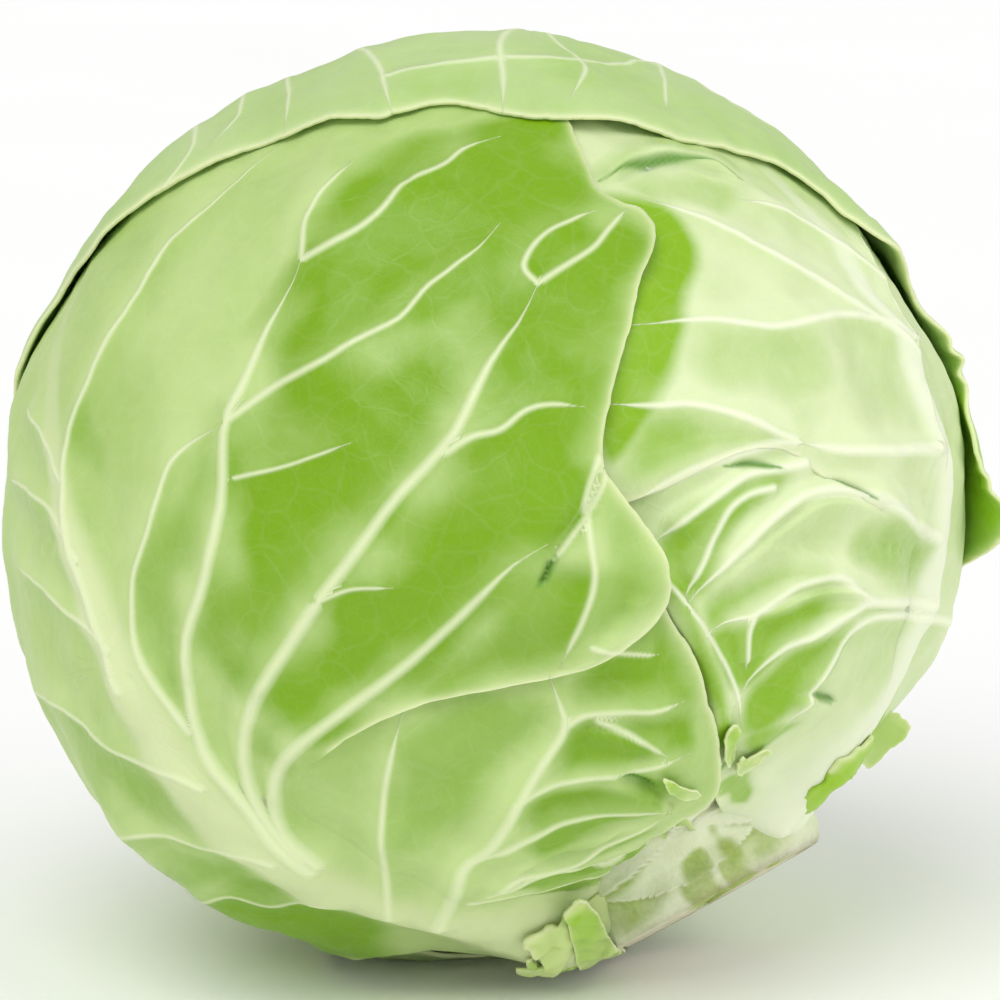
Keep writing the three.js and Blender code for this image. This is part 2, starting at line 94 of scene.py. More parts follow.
tilt, heading, above = np.radians([STEM_TILT, STEM_HEADING, VIEWER_ABOVE])
STEM_AXIS = np.array(
    [np.sin(tilt) * np.cos(heading), np.sin(tilt) * np.sin(heading), -np.cos(tilt)]
)
VIEW_RIGHT = np.array([1.0, 0, 0])
VIEW_INTO = np.array([0, np.cos(above), -np.sin(above)])
VIEW_UP = np.array([0, np.sin(above), np.cos(above)])
FRONT_AXIS = unit(-VIEW_INTO + np.dot(VIEW_INTO, STEM_AXIS) * STEM_AXIS)
RIGHT_AXIS = np.cross(FRONT_AXIS, STEM_AXIS)

CAMERA_PLACE = (
    -CAMERA_DISTANCE * VIEW_INTO
    + (PICTURE_CENTRE[0] - HEAD_PIXEL[0]) / PIXELS_PER_MM * VIEW_RIGHT
    - (PICTURE_CENTRE[1] - HEAD_PIXEL[1]) / PIXELS_PER_MM * VIEW_UP
)


def on_head(angles):
    """Directions of [longitude, polar angle] pairs: the polar angle is turned away from the stem."""
    longitude, polar = np.radians(np.asarray(angles, float)).T
    return (
        np.cos(polar)[:, None] * STEM_AXIS
        + (np.sin(polar) * np.cos(longitude))[:, None] * FRONT_AXIS
        + (np.sin(polar) * np.sin(longitude))[:, None] * RIGHT_AXIS
    )


# Places where the head is a little fuller or flatter than round: longitude, polar angle, reach, rise
SWELLS = [
    (-55, 132, 26, 1.4),
    (-67, 84, 24, 1.3),
    (60, 122, 22, -1.6),
    (66, 98, 18, -1.0),
    (-66, 44, 18, -4),
    (-67, 22, 11, 2.4),
    (-68, 72, 18, 1.6),
    (-45, 147, 20, 1.2),
    (-63, 114, 12, -1),
    (71, 48, 15, -3),
    (-122, 31, 24, 3),
]


def from_stem(dirs):
    """The polar angle of each direction."""
    return np.degrees(np.arccos(np.clip(dirs @ STEM_AXIS, -1, 1)))


def bumps(dirs, places):
    """The sum of round bell-shaped bumps, each rise * exp(-(distance / reach)^2)."""
    total = np.zeros(len(dirs))
    for longitude, polar, reach, rise in places:
        middle = on_head([(longitude, polar)])[0]
        away = np.arccos(np.clip(dirs @ middle, -1, 1)) * MEAN_RADIUS
        total += rise * np.exp(-((away / reach) ** 2))
    return total


def heart_radius(dirs):
    """An ellipsoid about the stem's axis, fuller on one side, drawn in round the stump."""
    along = dirs @ STEM_AXIS
    across = np.sqrt(np.maximum(0, 1 - along**2))
    front = soft_step(dirs @ FRONT_AXIS, 0.1, 0.45)
    dimple = BASE_DIMPLE_SIDES + (BASE_DIMPLE - BASE_DIMPLE_SIDES) * front
    return (
        1 / np.hypot(along / HEART_HALF_HEIGHT, across / HEART_RADIUS)
        - HEART_LOPSIDED * (dirs @ RIGHT_AXIS)
        - dimple * (1 - soft_step(from_stem(dirs), BASE_DIMPLE_FROM, BASE_DIMPLE_TO))
        + bumps(dirs, SWELLS)
    )


def curve(points, count, closed=False):
    """A centripetal Catmull-Rom curve through the points, as count evenly spaced points along it."""
    points = np.asarray(points, float)
    if closed:
        ring = np.concatenate([points[-1:], points, points[:2]])
    else:
        ring = np.concatenate([2 * points[:1] - points[1:2], points, 2 * points[-1:] - points[-2:-1]])
    p0, p1, p2, p3 = ring[:-3], ring[1:-2], ring[2:-1], ring[3:]
    d0, d1, d2 = (
        np.maximum(np.linalg.norm(b - a, axis=1, keepdims=True) ** 0.5, 1e-6)
        for a, b in ((p0, p1), (p1, p2), (p2, p3))
    )
    start = ((p1 - p0) / d0 - (p2 - p0) / (d0 + d1) + (p2 - p1) / d1) * d1
    end = ((p2 - p1) / d1 - (p3 - p1) / (d1 + d2) + (p3 - p2) / d2) * d1
    t = np.linspace(0, 1, 24, endpoint=False)[None, :, None]
    a, b, u, v = p1[:, None], p2[:, None], start[:, None], end[:, None]
    fine = a + t * u + t**2 * (3 * (b - a) - 2 * u - v) + t**3 * (2 * (a - b) + u + v)
    fine = np.concatenate([fine.reshape(-1, points.shape[1]), ring[-2:-1]])
    travelled = np.concatenate([[0], np.cumsum(np.linalg.norm(np.diff(fine, axis=0), axis=1))])
    stops = np.linspace(0, travelled[-1], count, endpoint=not closed)
    return np.stack([np.interp(stops, travelled, fine[:, k]) for k in range(points.shape[1])], 1)


def chain_distance(dirs, chain, closed=False):
    """For each direction, in mm on the mean sphere: the distance to the nearest segment of the chain
    by the foot of the perpendicular on it, how far along the chain that foot is from 0 to 1, and the
    same distance again, negative on the right of the chain as seen from outside."""
    ends = np.roll(chain, -1, axis=0) if closed else chain[1:]
    starts = chain if closed else chain[:-1]
    edges = ends - starts
    squares = np.maximum((edges**2).sum(1), 1e-14)
    foot = dirs @ edges.T - (starts * edges).sum(1)
    t = np.clip(foot / squares, 0, 1)
    away = np.maximum(2 - 2 * (dirs @ starts.T) - 2 * t * foot + t * t * squares, 0)
    nearest = away.argmin(1)
    row = np.arange(len(dirs))
    distance = np.sqrt(away[row, nearest]) * MEAN_RADIUS
    along = (nearest + t[row, nearest]) / len(edges)
    side = (dirs * np.cross(starts, edges)[nearest]).sum(1)
    return distance, along, np.where(side < 0, -distance, distance)


def in_lots(work, dirs, lot=20000):
    """Does the work on a limited number of directions at a time, and joins the results."""
    parts = [work(dirs[k : k + lot]) for k in range(0, len(dirs), lot)]
    if isinstance(parts[0], tuple):
        return tuple(np.concatenate(column) for column in zip(*parts))
    return np.concatenate(parts)


class LeafMap:
    """Directions laid out flat round a centre, at true distance from it and true bearing."""

    def __init__(self, centre, upwards=-STEM_AXIS):
        self.centre = centre
        self.up = unit(upwards - np.dot(upwards, centre) * centre)
        self.side = np.cross(self.up, centre)

    def flat(self, dirs):
        x, y = dirs @ self.side, dirs @ self.up
        angle = np.arccos(np.clip(dirs @ self.centre, -1, 1))
        scale = angle * MEAN_RADIUS / np.maximum(np.hypot(x, y), 1e-12)
        return np.stack([x * scale, y * scale], 1)

    def directions(self, flat):
        length = np.maximum(np.linalg.norm(flat, axis=1), 1e-9)
        angle = length / MEAN_RADIUS
        sideways = np.sin(angle) / length
        return unit(
            np.cos(angle)[:, None] * self.centre
            + (flat[:, 0] * sideways)[:, None] * self.side
            + (flat[:, 1] * sideways)[:, None] * self.up
        )


def inside_polygon(points, polygon):
    """Whether each flat point is inside, by counting the sides that a level ray from it crosses."""
    inside = np.zeros(len(points), bool)
    x, y = points.T
    for (ax, ay), (bx, by) in zip(polygon, np.roll(polygon, -1, axis=0)):
        if ay != by:
            inside ^= ((ay > y) != (by > y)) & (x < (bx - ax) * (y - ay) / (by - ay) + ax)
    return inside


# The leaves' outlines and midribs, as the model has them but for small shifts of the right and the back
# leaf's. A leaf lies over those named in over. One that joins another is one sheet with it at its own
# midrib, up to the first distance, and clear of it from the second. The rib is the midrib's height and
# half-width and the further height of its stalk, and the waves are the herringbone's height and spacing.
BLADES = {
    "front": dict(
        centre=(10, 78),
        midrib=[(8, 18), (6, 45), (4, 80), (0, 115), (-5, 142)],
        rib=(1.6, 11, 0),
        waves=(0, 28),
        outline=[
            (8, 15), (26, 20), (30, 32), (48, 44), (64, 66), (68, 92), (60, 122), (36, 142),
            (-6, 150), (-34, 136), (-46, 112), (-48, 84), (-42, 58), (-22, 40), (-12, 26), (-8, 18),
        ],
        over=[],
    ),
    "under": dict(
        centre=(-132, 80),
        midrib=[(-128, 17), (-130, 45), (-134, 80), (-142, 115), (-152, 140)],
        rib=(2.6, 10, 1.5),
        waves=(0.6, 28),
        outline=[
            (-128, 14), (-106, 18), (-100, 30), (-84, 42), (-66, 60), (-58, 86), (-62, 112),
            (-84, 132), (-130, 148), (-176, 140), (-198, 118), (-204, 88), (-196, 60), (-176, 42),
            (-156, 32), (-148, 19),
        ],
        over=["front"],
    ),
    "right_lobe": dict(
        centre=(44, 52),
        midrib=[(50, 17), (60, 32), (71, 46), (74, 56), (70, 70)],
        rib=(3.2, 9, 3.5),
        waves=(0.8, 22),
        outline=[
            (52, 15), (78, 20), (86, 38), (84, 58), (74, 74), (54, 84), (30, 88), (9, 84), (5, 74),
            (6, 67), (7, 61), (8, 54), (9, 47), (11, 38), (16, 28), (28, 18),
        ],
        over=["front", "under"],
    ),
    "right": dict(
        centre=(72, 88),
        midrib=[
            (50, 17), (60, 32), (71, 45), (74, 53), (71, 64), (66, 76), (63, 90), (62, 104), (66, 122),
        ],
        rib=(3.4, 9, 3.5),
        waves=(0.6, 30),
        outline=[
            (54, 15), (82, 18), (96, 30), (112, 42), (126, 58), (132, 84), (130, 110), (116, 130),
            (84, 144), (44, 146), (16, 134), (2, 114), (-2, 94), (4, 79), (15, 75.8), (29, 75.4),
            (35, 73.5), (41, 68), (49, 62.5), (60, 57), (59, 45), (54, 30), (42, 18),
        ],
        over=["front", "under", "right_lobe"],
        joins=("right_lobe", 13, 27),
    ),
    "left_lobe": dict(
        centre=(-34, 50),
        midrib=[(-60, 17), (-54, 36), (-54, 52), (-52, 66), (-50, 78)],
        rib=(3.4, 10.5, 3),
        waves=(0.8, 22),
        outline=[
            (-62, 15), (-36, 16), (-30, 22), (-18, 25), (-8, 25.5), (-4, 31), (3, 36), (10, 37),
            (14, 45), (14, 52), (14, 57), (13, 62), (12, 67), (4, 74), (-20, 80), (-46, 82),
            (-62, 75), (-69, 60), (-70, 42), (-72, 24),
        ],
        over=["front", "under", "right_lobe", "right"],
    ),
    "left": dict(
        centre=(-52, 90),
        midrib=[
            (-60, 17), (-54, 36), (-54, 52), (-51, 72), (-49, 92), (-50, 112), (-55, 132), (-58, 150),
        ],
        rib=(3.4, 10.5, 3),
        waves=(0.6, 30),
        outline=[
            (-62, 15), (-80, 18), (-78, 28), (-78, 37), (-81, 43), (-92, 47), (-110, 52),
            (-124, 63), (-130, 82), (-131, 105), (-128, 130), (-104, 150), (-50, 158), (4, 150),
            (34, 136), (36, 124), (32, 114), (30, 108.5), (33.5, 105), (32.5, 101.5), (27, 97),
            (22, 92), (18, 88), (14, 83.5), (12.5, 80), (13.5, 74), (14, 69), (12.5, 65), (8, 63),
            (0, 62.8), (-9, 64.6), (-18, 67.4), (-30, 68.5), (-40, 66), (-38, 50), (-36, 34),
            (-34, 18),
        ],
        over=["front", "under", "right_lobe", "right", "left_lobe"],
        joins=("left_lobe", 13, 27),
    ),
    "torn_right": dict(
        centre=(68, 25),
        midrib=[(48, 22), (64, 22), (82, 23)],
        rib=(0, 7, 0),
        waves=(0.5, 9),
        outline=[
            (49, 21), (56, 18), (66, 17), (76, 18), (85, 25), (86, 31), (80, 35.5), (75, 33.5),
            (69, 31), (62, 32), (55, 30.5), (50, 27),
        ],
        over=["front", "under", "right"],
        joins=("right", 2, 8),
    ),
    "torn_low": dict(
        centre=(-52, 20),
        midrib=[(-36, 18), (-52, 19), (-72, 18)],
        rib=(0, 6, 0),
        waves=(0.4, 8),
        outline=[
            (-36, 14.5), (-52, 13), (-70, 14.5), (-76, 21), (-66, 26), (-57, 24), (-50, 29),
            (-43, 26), (-38, 22),
        ],
        over=["front", "under", "left"],
        joins=("left", 2, 6),
    ),
    "back": dict(
        centre=(176, 104),
        midrib=[(176, 17), (178, 45), (180, 80), (182, 115), (190, 145)],
        rib=(3.4, 10, 2),
        waves=(0.7, 30),
        outline=[
            (176, 14), (150, 19), (146, 32), (134, 43), (118, 50), (104, 53), (94, 55), (88, 57.5),
            (86.5, 61), (85.5, 65), (86, 70), (87, 74), (85.5, 79), (83, 84), (79, 88), (73, 92.5),
            (69.5, 97), (68, 101), (65, 105), (60, 108), (54, 110.4), (48, 112.8), (43.5, 115.5),
            (38, 118), (33, 119.8), (28, 123.5), (22, 129.5),
            (13, 131.5), (6, 136), (-5, 140), (-18, 142), (-31, 142.4), (-46, 141), (-64, 140),
            (-74, 135), (-92, 124), (-112, 108), (-128, 88), (-140, 66), (-150, 44), (-158, 24),
            (-168, 18),
        ],
        over=["front", "under", "right_lobe", "right", "left_lobe", "left"],
    ),
}

# Margins that stand away from the head: leaf, longitude, polar angle, reach, rise
LIFTED_MARGINS = [
    ("back", 86, 59, 6.5, 4.2),
    ("back", 86, 79, 8, 2.2),
    ("back", 75, 90, 9, 2.6),
    ("back", 10, 133, 12, 1.0),
    ("back", -146, 52, 16, 1.6),
    ("left", 13, 67, 9, 1.0),
    ("left", -122, 57, 14, 0.8),
]

# Where a leaf, with all that lies on it, is fuller than the model's solid
LEAF_SWELLS = {"right": [(88, 72, 16, 1.8), (89, 58, 17, 2.4), (90, 45, 15, 2.2)]}

for name, blade in BLADES.items():
    blade["name"] = name
    blade["map"] = LeafMap(on_head([blade["centre"]])[0])
    blade["edge"] = unit(curve(on_head(blade["outline"]), 150, closed=True))
    blade["flat_edge"] = blade["map"].flat(blade["edge"])
    blade["midrib_line"] = unit(curve(on_head(blade["midrib"]), 51))
    steps = np.linalg.norm(np.diff(blade["midrib_line"], axis=0), axis=1)
    blade["length"] = steps.sum() * MEAN_RADIUS
    blade["lifts"] = [lift[1:] for lift in LIFTED_MARGINS if lift[0] == name]


def inside_margin(blade, dirs):
    """Distance in from the blade's margin, negative outside it."""
    distance = chain_distance(dirs, blade["edge"], closed=True)[0]
    return np.where(inside_polygon(blade["map"].flat(dirs), blade["flat_edge"]), distance, -distance)


def rib_width(blade, along):
    """The midrib's half-width, which narrows towards the tip."""
    return blade["rib"][1] * (1 - 0.72 * soft_step(along, 0, 0.8))


def rib_rise(blade, dirs):
    """The midrib: a bell across, broad and high at the stump, running out towards the tip."""
    height, _, stalk = blade["rib"]
    distance, along, _ = chain_distance(dirs, blade["midrib_line"])
    rise = height * (1 - soft_step(along, 0.25, 0.8)) + stalk * (1 - soft_step(along, 0, 0.3))
    return rise * np.exp(-((distance / rib_width(blade, along)) ** 2))


def bulge(blade, dirs):
    """A raised cosine in a herringbone on both sides of the midrib, and the leaf's own swells."""
    height, spacing = blade["waves"]
    distance, along, _ = chain_distance(dirs, blade["midrib_line"])
    phase = (0.8 * along * blade["length"] + 0.6 * distance) / spacing
    beside = soft_step(distance, 0.6 * blade["rib"][1], 1.8 * blade["rib"][1])
    swell = bumps(dirs, LEAF_SWELLS.get(blade["name"], []))
    return 0.5 * height * (1 - np.cos(2 * np.pi * phase)) * beside + swell


def margin_lift(blade, dirs, inside):
    """Bumps that fade out a band's width inside the margin."""
    return (1 - soft_step(inside, 0, MARGIN_BAND)) * bumps(dirs, blade["lifts"])


def packed_under(blade, dirs):
    """Height of the stack of leaves below this one: each adds its thickness, ribs and lifts where it
    covers, and less and less past its margin."""
    height = np.zeros(len(dirs))
    joined, near, far = blade.get("joins", (None, 0, 1))
    for name in blade["over"]:
        below = BLADES[name]
        inside = inside_margin(below, dirs)
        cover = soft_step(inside, -DRAPE_END, -DRAPE_START)
        raised = bulge(below, dirs) + margin_lift(below, dirs, inside)
        rib = rib_rise(below, dirs)
        if name == joined:
            apart = soft_step(chain_distance(dirs, blade["midrib_line"])[0], near, far)
            rib = 0 if name.endswith("_lobe") else rib
            height += cover * (apart * (LEAF_PITCH + raised) + rib)
        else:
            height += cover * (LEAF_PITCH + rib + raised)
    return height


def place(dirs, radius, floor=0.0):
    """Points of the object in mm: along each direction from the centre, never below the table."""
    points = dirs * np.asarray(radius)[:, None] + HEAD_CENTRE
    points[:, 2] = np.maximum(points[:, 2], floor)
    return points


def ripple(dirs, size, seed, waves=14):
    """Smooth seeded unevenness between about -1 and 1: a sum of plane waves of that length in mm."""
    rng = np.random.default_rng(seed)
    headings = unit(rng.normal(size=(waves, 3))) * rng.uniform(0.7, 1.4, (waves, 1))
    phases = rng.uniform(0, 2 * np.pi, waves)
    return np.cos(dirs @ headings.T * (2 * np.pi * MEAN_RADIUS / size) + phases).sum(1) / waves**0.5


def seen_at(pixels, radius_of, rounds=4):
    """Directions of the head's surface points that show at these pixels. Each ray meets the sphere of
    the radius that the surface has there, and a ray that misses takes its nearest point."""
    x, y = np.asarray(pixels, float).T
    focal = PIXELS_PER_MM * CAMERA_DISTANCE
    rays = unit(
        focal * VIEW_INTO
        + (x - PICTURE_CENTRE[0])[:, None] * VIEW_RIGHT
        - (y - PICTURE_CENTRE[1])[:, None] * VIEW_UP
    )
    radius = np.full(len(rays), 82.0)
    for _ in range(rounds):
        half = rays @ CAMERA_PLACE
        under_root = half**2 - (CAMERA_PLACE @ CAMERA_PLACE - radius**2)
        reach = -half - np.sqrt(np.maximum(under_root, 0))
        dirs = unit(CAMERA_PLACE + reach[:, None] * rays)
        radius = radius_of(dirs)
    return dirs


VEIN_WIDTH = 0.5  # of the half-widths in the table below

# Veins that show in the photograph, as pixels of it: half-width at the start and end in mm, then the
# points from the midrib outwards
VEINS = {
    "left": [
        (1.6, 0.8, [(120, 690), (95, 620), (72, 540), (69, 446), (92, 376), (131, 306), (166, 249),
                    (230, 188), (287, 140)]),
        (1.5, 0.8, [(190, 730), (153, 680), (140, 659), (135, 628), (137, 580), (150, 532), (159, 500),
                    (172, 462), (191, 443), (228, 424)]),
        (2.4, 1.5, [(312, 868), (277, 841), (255, 812), (230, 781), (210, 755), (198, 717), (191, 679),
                    (191, 634), (204, 589), (217, 532), (223, 500), (228, 421), (242, 389), (255, 357),
                    (271, 322), (287, 293), (302, 262)]),
        (1.2, 0.6, [(302, 262), (305, 223), (314, 204), (335, 179), (354, 161)]),
        (1.5, 0.7, [(302, 262), (351, 233), (383, 210), (411, 182), (446, 163), (462, 150), (500, 137)]),
        (1.4, 0.7, [(230, 421), (271, 389), (319, 364), (360, 338), (399, 319), (427, 287), (456, 265),
                    (478, 249), (500, 223)]),
        (2.5, 1.3, [(304, 856), (274, 825), (261, 803), (249, 768), (249, 730), (261, 691), (287, 650),
                    (319, 602), (360, 548), (395, 500), (427, 466), (453, 437), (472, 399), (488, 367),
                    (500, 348), (519, 322), (538, 284)]),
        (1.1, 0.6, [(538, 284), (524, 268), (529, 252), (545, 233), (570, 220), (596, 210)]),
        (1.2, 0.7, [(538, 284), (567, 265), (592, 249), (608, 230), (628, 207)]),
        (2.5, 1.1, [(318, 862), (284, 828), (277, 800), (281, 768), (303, 742), (351, 707), (405, 666),
                    (462, 615), (500, 577), (519, 561), (548, 545)]),
        (1.3, 0.7, [(446, 453), (472, 437), (500, 430), (525, 411), (548, 405), (586, 407)]),
        (0.8, 0.5, [(236, 478), (287, 466), (351, 443)]),
        (0.8, 0.5, [(318, 602), (350, 590), (392, 588)]),
        (1.2, 0.9, [(600, 458), (585, 513), (594, 580), (586, 612), (573, 640), (560, 669)]),
        (0.7, 0.6, [(608, 468), (597, 494), (582, 520), (566, 542), (553, 562), (549, 572)]),
        (1.1, 0.6, [(110, 650), (89, 628), (64, 608), (41, 586), (18, 564)]),
        (1.2, 0.7, [(200, 790), (179, 777), (128, 755), (96, 736), (64, 707), (32, 682)]),
        (1.2, 0.7, [(275, 862), (252, 857), (191, 841), (143, 832), (102, 819)]),
        (1.1, 0.6, [(325, 905), (306, 902), (271, 905), (230, 899), (188, 892)]),
        (1.0, 0.6, [(80, 560), (60, 520), (30, 490), (8, 478)]),
        (1.0, 0.6, [(62, 480), (46, 440), (24, 404)]),
    ],
    "left_lobe": [
        (1.5, 0.9, [(392, 905), (387, 867), (383, 828), (386, 787), (392, 755), (402, 714)]),
        (2.4, 1.2, [(440, 915), (455, 890), (465, 860), (486, 847), (518, 800), (539, 765), (564, 724),
                    (558, 700), (548, 672)]),
        (1.4, 0.8, [(564, 724), (580, 715), (620, 711), (656, 709), (685, 700)]),
        (1.2, 0.7, [(598, 720), (612, 725), (635, 736), (666, 756)]),
        (1.3, 0.8, [(515, 800), (533, 791), (577, 777), (612, 771), (656, 765), (690, 754)]),
        (1.5, 0.8, [(486, 850), (498, 847), (539, 827), (589, 812), (640, 806), (672, 806)]),
        (1.6, 0.8, [(500, 886), (518, 874), (574, 862), (603, 843), (640, 826), (668, 806)]),
        (1.5, 0.9, [(490, 893), (509, 885), (539, 871), (597, 862), (638, 848), (660, 838)]),
        (1.3, 0.8, [(470, 900), (520, 896), (560, 884), (610, 874), (650, 862)]),
        (1.0, 0.7, [(590, 645), (620, 652), (660, 655)]),
    ],
    "right": [
        (2.2, 1.0, [(912, 352), (860, 312), (819, 284), (771, 255), (723, 230), (679, 210), (640, 198)]),
        (1.8, 0.9, [(912, 340), (876, 322), (838, 316), (803, 322), (771, 327), (707, 320), (632, 325)]),
        (2.3, 1.4, [(930, 450), (914, 450), (851, 451), (800, 443)]),
        (1.7, 1.1, [(800, 443), (780, 443), (742, 453), (691, 472), (637, 500)]),
        (1.5, 0.9, [(800, 443), (777, 432), (744, 417), (712, 408), (686, 404), (658, 406), (610, 404)]),
        (1.5, 0.8, [(880, 280), (860, 262), (830, 240), (790, 215), (740, 200)]),
        (0.6, 0.4, [(856, 229), (883, 285), (911, 340), (930, 400), (936, 470)]),
    ],
    "right_lobe": [
        (1.6, 1.1, [(800, 464), (777, 469), (744, 475), (712, 497), (681, 521), (653, 543)]),
        (1.3, 0.9, [(768, 488), (744, 495), (725, 510), (712, 536), (699, 566), (681, 599)]),
        (2.4, 1.4, [(926, 538), (900, 519), (874, 501), (842, 491), (820, 491), (794, 499), (768, 519),
                    (744, 543), (725, 562), (699, 588), (682, 606)]),
        (1.9, 1.1, [(922, 601), (900, 601), (864, 599), (851, 588), (835, 577), (799, 584), (777, 597),
                    (751, 614), (725, 621), (699, 634)]),
        (1.2, 0.9, [(751, 614), (746, 629), (744, 668)]),
        (2.0, 1.1, [(922, 604), (900, 601), (874, 601), (853, 605), (831, 618), (809, 634), (788, 642),
                    (766, 658), (749, 677), (733, 705)]),
        (1.9, 1.1, [(916, 613), (885, 614), (864, 618), (842, 634), (827, 664), (809, 690), (790, 718),
                    (770, 740)]),
        (1.0, 0.8, [(662, 578), (682, 602), (702, 628), (725, 668), (737, 699), (741, 724)]),
    ],
    "back": [
        (1.3, 0.8, [(310, 48), (327, 57), (380, 68), (383, 80), (392, 112)]),
        (1.1, 0.7, [(291, 72), (289, 100), (283, 128)]),
        (1.6, 0.9, [(530, 25), (500, 45), (503, 75), (503, 110)]),
        (1.3, 0.8, [(383, 76), (440, 65), (500, 58), (560, 60), (620, 65), (665, 63), (700, 80)]),
        (1.3, 0.8, [(530, 27), (555, 42), (575, 57), (585, 70), (570, 98)]),
        (1.1, 0.7, [(658, 64), (664, 84), (668, 110)]),
        (1.1, 0.7, [(700, 78), (740, 110), (790, 140), (828, 172)]),
        (1.2, 0.7, [(200, 118), (190, 150), (150, 190), (120, 225)]),
        (1.1, 0.7, [(255, 85), (235, 118), (205, 150)]),
    ],
}

# Folds, as pixels: the leaf on the left of the line, going along it, is raised by rise and comes
# down again over reach
FOLDS = {
    "right": [
        (2.0, 6, [(606, 182), (636, 167), (662, 162), (691, 164), (720, 172), (748, 184)]),
    ],
    "left": [
        (2.2, 6, [(606, 462), (592, 500), (576, 525), (560, 548), (547, 578)]),
    ],
    "left_lobe": [
        (1.6, 6, [(679, 812), (644, 790), (606, 773)]),
        (1.2, 5, [(500, 878), (540, 858), (590, 843), (632, 822)]),
        (1.2, 6, [(662, 846), (610, 858), (560, 880)]),
        (1.3, 8, [(650, 742), (610, 728), (575, 728)]),
    ],
    "right_lobe": [
        (1.2, 5, [(838, 703), (807, 694), (786, 700)]),
        (1.4, 6, [(885, 520), (850, 500), (815, 500), (780, 524), (740, 560), (700, 600)]),
        (1.2, 6, [(868, 592), (835, 586), (790, 596), (745, 622)]),
    ],
}

# Margins rolled up on themselves: height in mm and pixels along the middle. The roll's half-width in mm
ROLL_RADIUS = 1.9
ROLLS = {
    "right_lobe": [(1.7, [(660, 572), (676, 608), (698, 645), (712, 680), (719, 712), (724, 742)])],
}

# Deep creases that hardly any light gets into, dented and painted deep green for their shade:
# half-width and depth in mm, and pixels along each
CREASES = {
    "left": [(0.55, 1.6, [(557, 556), (551, 566), (547, 575), (541, 583), (532, 585)])],
    "left_lobe": [
        (0.6, 1.0, [(614, 769), (636, 777), (660, 792)]),
        (0.6, 1.0, [(630, 901), (648, 890), (668, 876), (688, 864)]),
        (0.5, 0.8, [(664, 846), (676, 836), (690, 829)]),
    ],
    "right": [
        (0.5, 1.1, [(601, 178), (628, 167), (661, 161), (690, 161), (714, 166), (744, 180)]),
        (0.6, 0.8, [(722, 467), (745, 464), (776, 469)]),
        (0.5, 0.8, [(826, 478), (850, 486), (878, 498)]),
    ],
    "right_lobe": [
        (0.5, 0.8, [(808, 692), (822, 698), (840, 702)]),
        (0.6, 0.8, [(722, 776), (732, 764), (738, 750)]),
    ],
}

# How much a leaf is painted greener in the hollows between its veins and paler on their ridges, as shade and
# light
HOLLOW_SHADE = {"left_lobe": 0.55, "right_lobe": 0.55, "right": 0.12}
PLAIN_HOLLOW_SHADE = 0.1
JOINED_HOLLOW_SHADE = 0.3

# How much of the stem's cream colour the torn rests of leaves have
STALK_SHARE = {"torn_right": 0.1, "torn_low": 0.4}


def outer_radius(blade, dirs):
    """The blade's outer face without its veins: the heart, the stack below, its own thickness, the
    herringbone, the lifted margins and the midrib."""
    inside = inside_margin(blade, dirs)
    inner = heart_radius(dirs) + LEAF_GAP + packed_under(blade, dirs) + margin_lift(blade, dirs, inside)
    return inner + LAMINA + bulge(blade, dirs) + rib_rise(blade, dirs), inside


def face_of(blade):
    """The blade's outer radius as a function of the directions alone."""
    return lambda dirs: in_lots(lambda lot: outer_radius(blade, lot)[0], dirs)


# Leaves whose veins are mostly out of sight, with how many pairs of veins they get, their angle to the
# midrib and the length of the first
HERRINGBONE_LEAVES = ("back", "under", "front")
HERRINGBONE_PAIRS, HERRINGBONE_ANGLE, HERRINGBONE_LENGTH = 7, 52, 62


def herringbone(blade):
    """Veins for a blade whose own are out of sight: from points along the midrib, on both sides, each
    sets off at an angle to it and bends towards the tip, with a fork part of the way out."""
    line = blade["map"].flat(blade["midrib_line"])
    pairs = HERRINGBONE_PAIRS
    veins = []
    for k in range(pairs):
        start = int(3 + 42 * k / pairs)
        forward = unit(line[start + 2] - line[start])
        for side in (-1, 1):
            sideways = side * np.array([forward[1], -forward[0]])
            turn = np.radians(HERRINGBONE_ANGLE - 16 * k / pairs)
            heading = np.cos(turn) * forward + np.sin(turn) * sideways
            t = np.linspace(0, 1, 7)[:, None]
            wander = 2.5 * np.sin(5 * t + 1.7 * k + side)
            length = HERRINGBONE_LENGTH * (1 - 0.45 * k / pairs)
            bend = length * 0.28 * t**2 + wander
            trunk = line[start] + length * t * heading + bend * forward
            veins.append((1.9 - 0.9 * k / pairs, 0.7, trunk))
            fork = trunk[3] + length * 0.5 * t * unit(heading - 0.75 * forward * (-1) ** k)
            veins.append((1.0, 0.5, fork))
    return [(a, b, blade["map"].directions(points)) for a, b, points in veins]


# How the veins raise the leaf round them: height in mm, and how far the slope runs out. A half-width
# from which a vein is raised in full, and the one where there is no vein. A distance beyond the reach
# of what is drawn at a vein or a margin
RELIEF = {
    "left": (0.75, 2.2),
    "left_lobe": (2.5, 3.0),
    "right": (1.1, 2.8),
    "right_lobe": (2.5, 3.0),
}
PLAIN_RELIEF = (0.6, 2.0)
JOINED_RELIEF = (1.5, 2.6)
FULL_WIDTH = 1.1
PLAIN_WIDTH = 0.3
FAR = 9.0

# The two blades of a leaf are one sheet up to the first distance from their midrib, and have parted
# at the second
JOINED_UP_TO, PARTED_FROM = 18, 30


def blades_of(name):
    """The names of the blades that a leaf is made of, this one first."""
    main = name.removesuffix("_lobe")
    other = main + "_lobe" if main == name else main
    return [name, other] if other in BLADES else [name]


def drawn_veins(name):
    """A blade's veins as directions. The other blade of its leaf has them in the same places."""
    blade = BLADES[name]
    if "veins" not in blade:
        face = face_of(blade)
        blade["veins"] = [(a, b, seen_at(points, face)) for a, b, points in VEINS.get(name, [])]
    return blade["veins"]


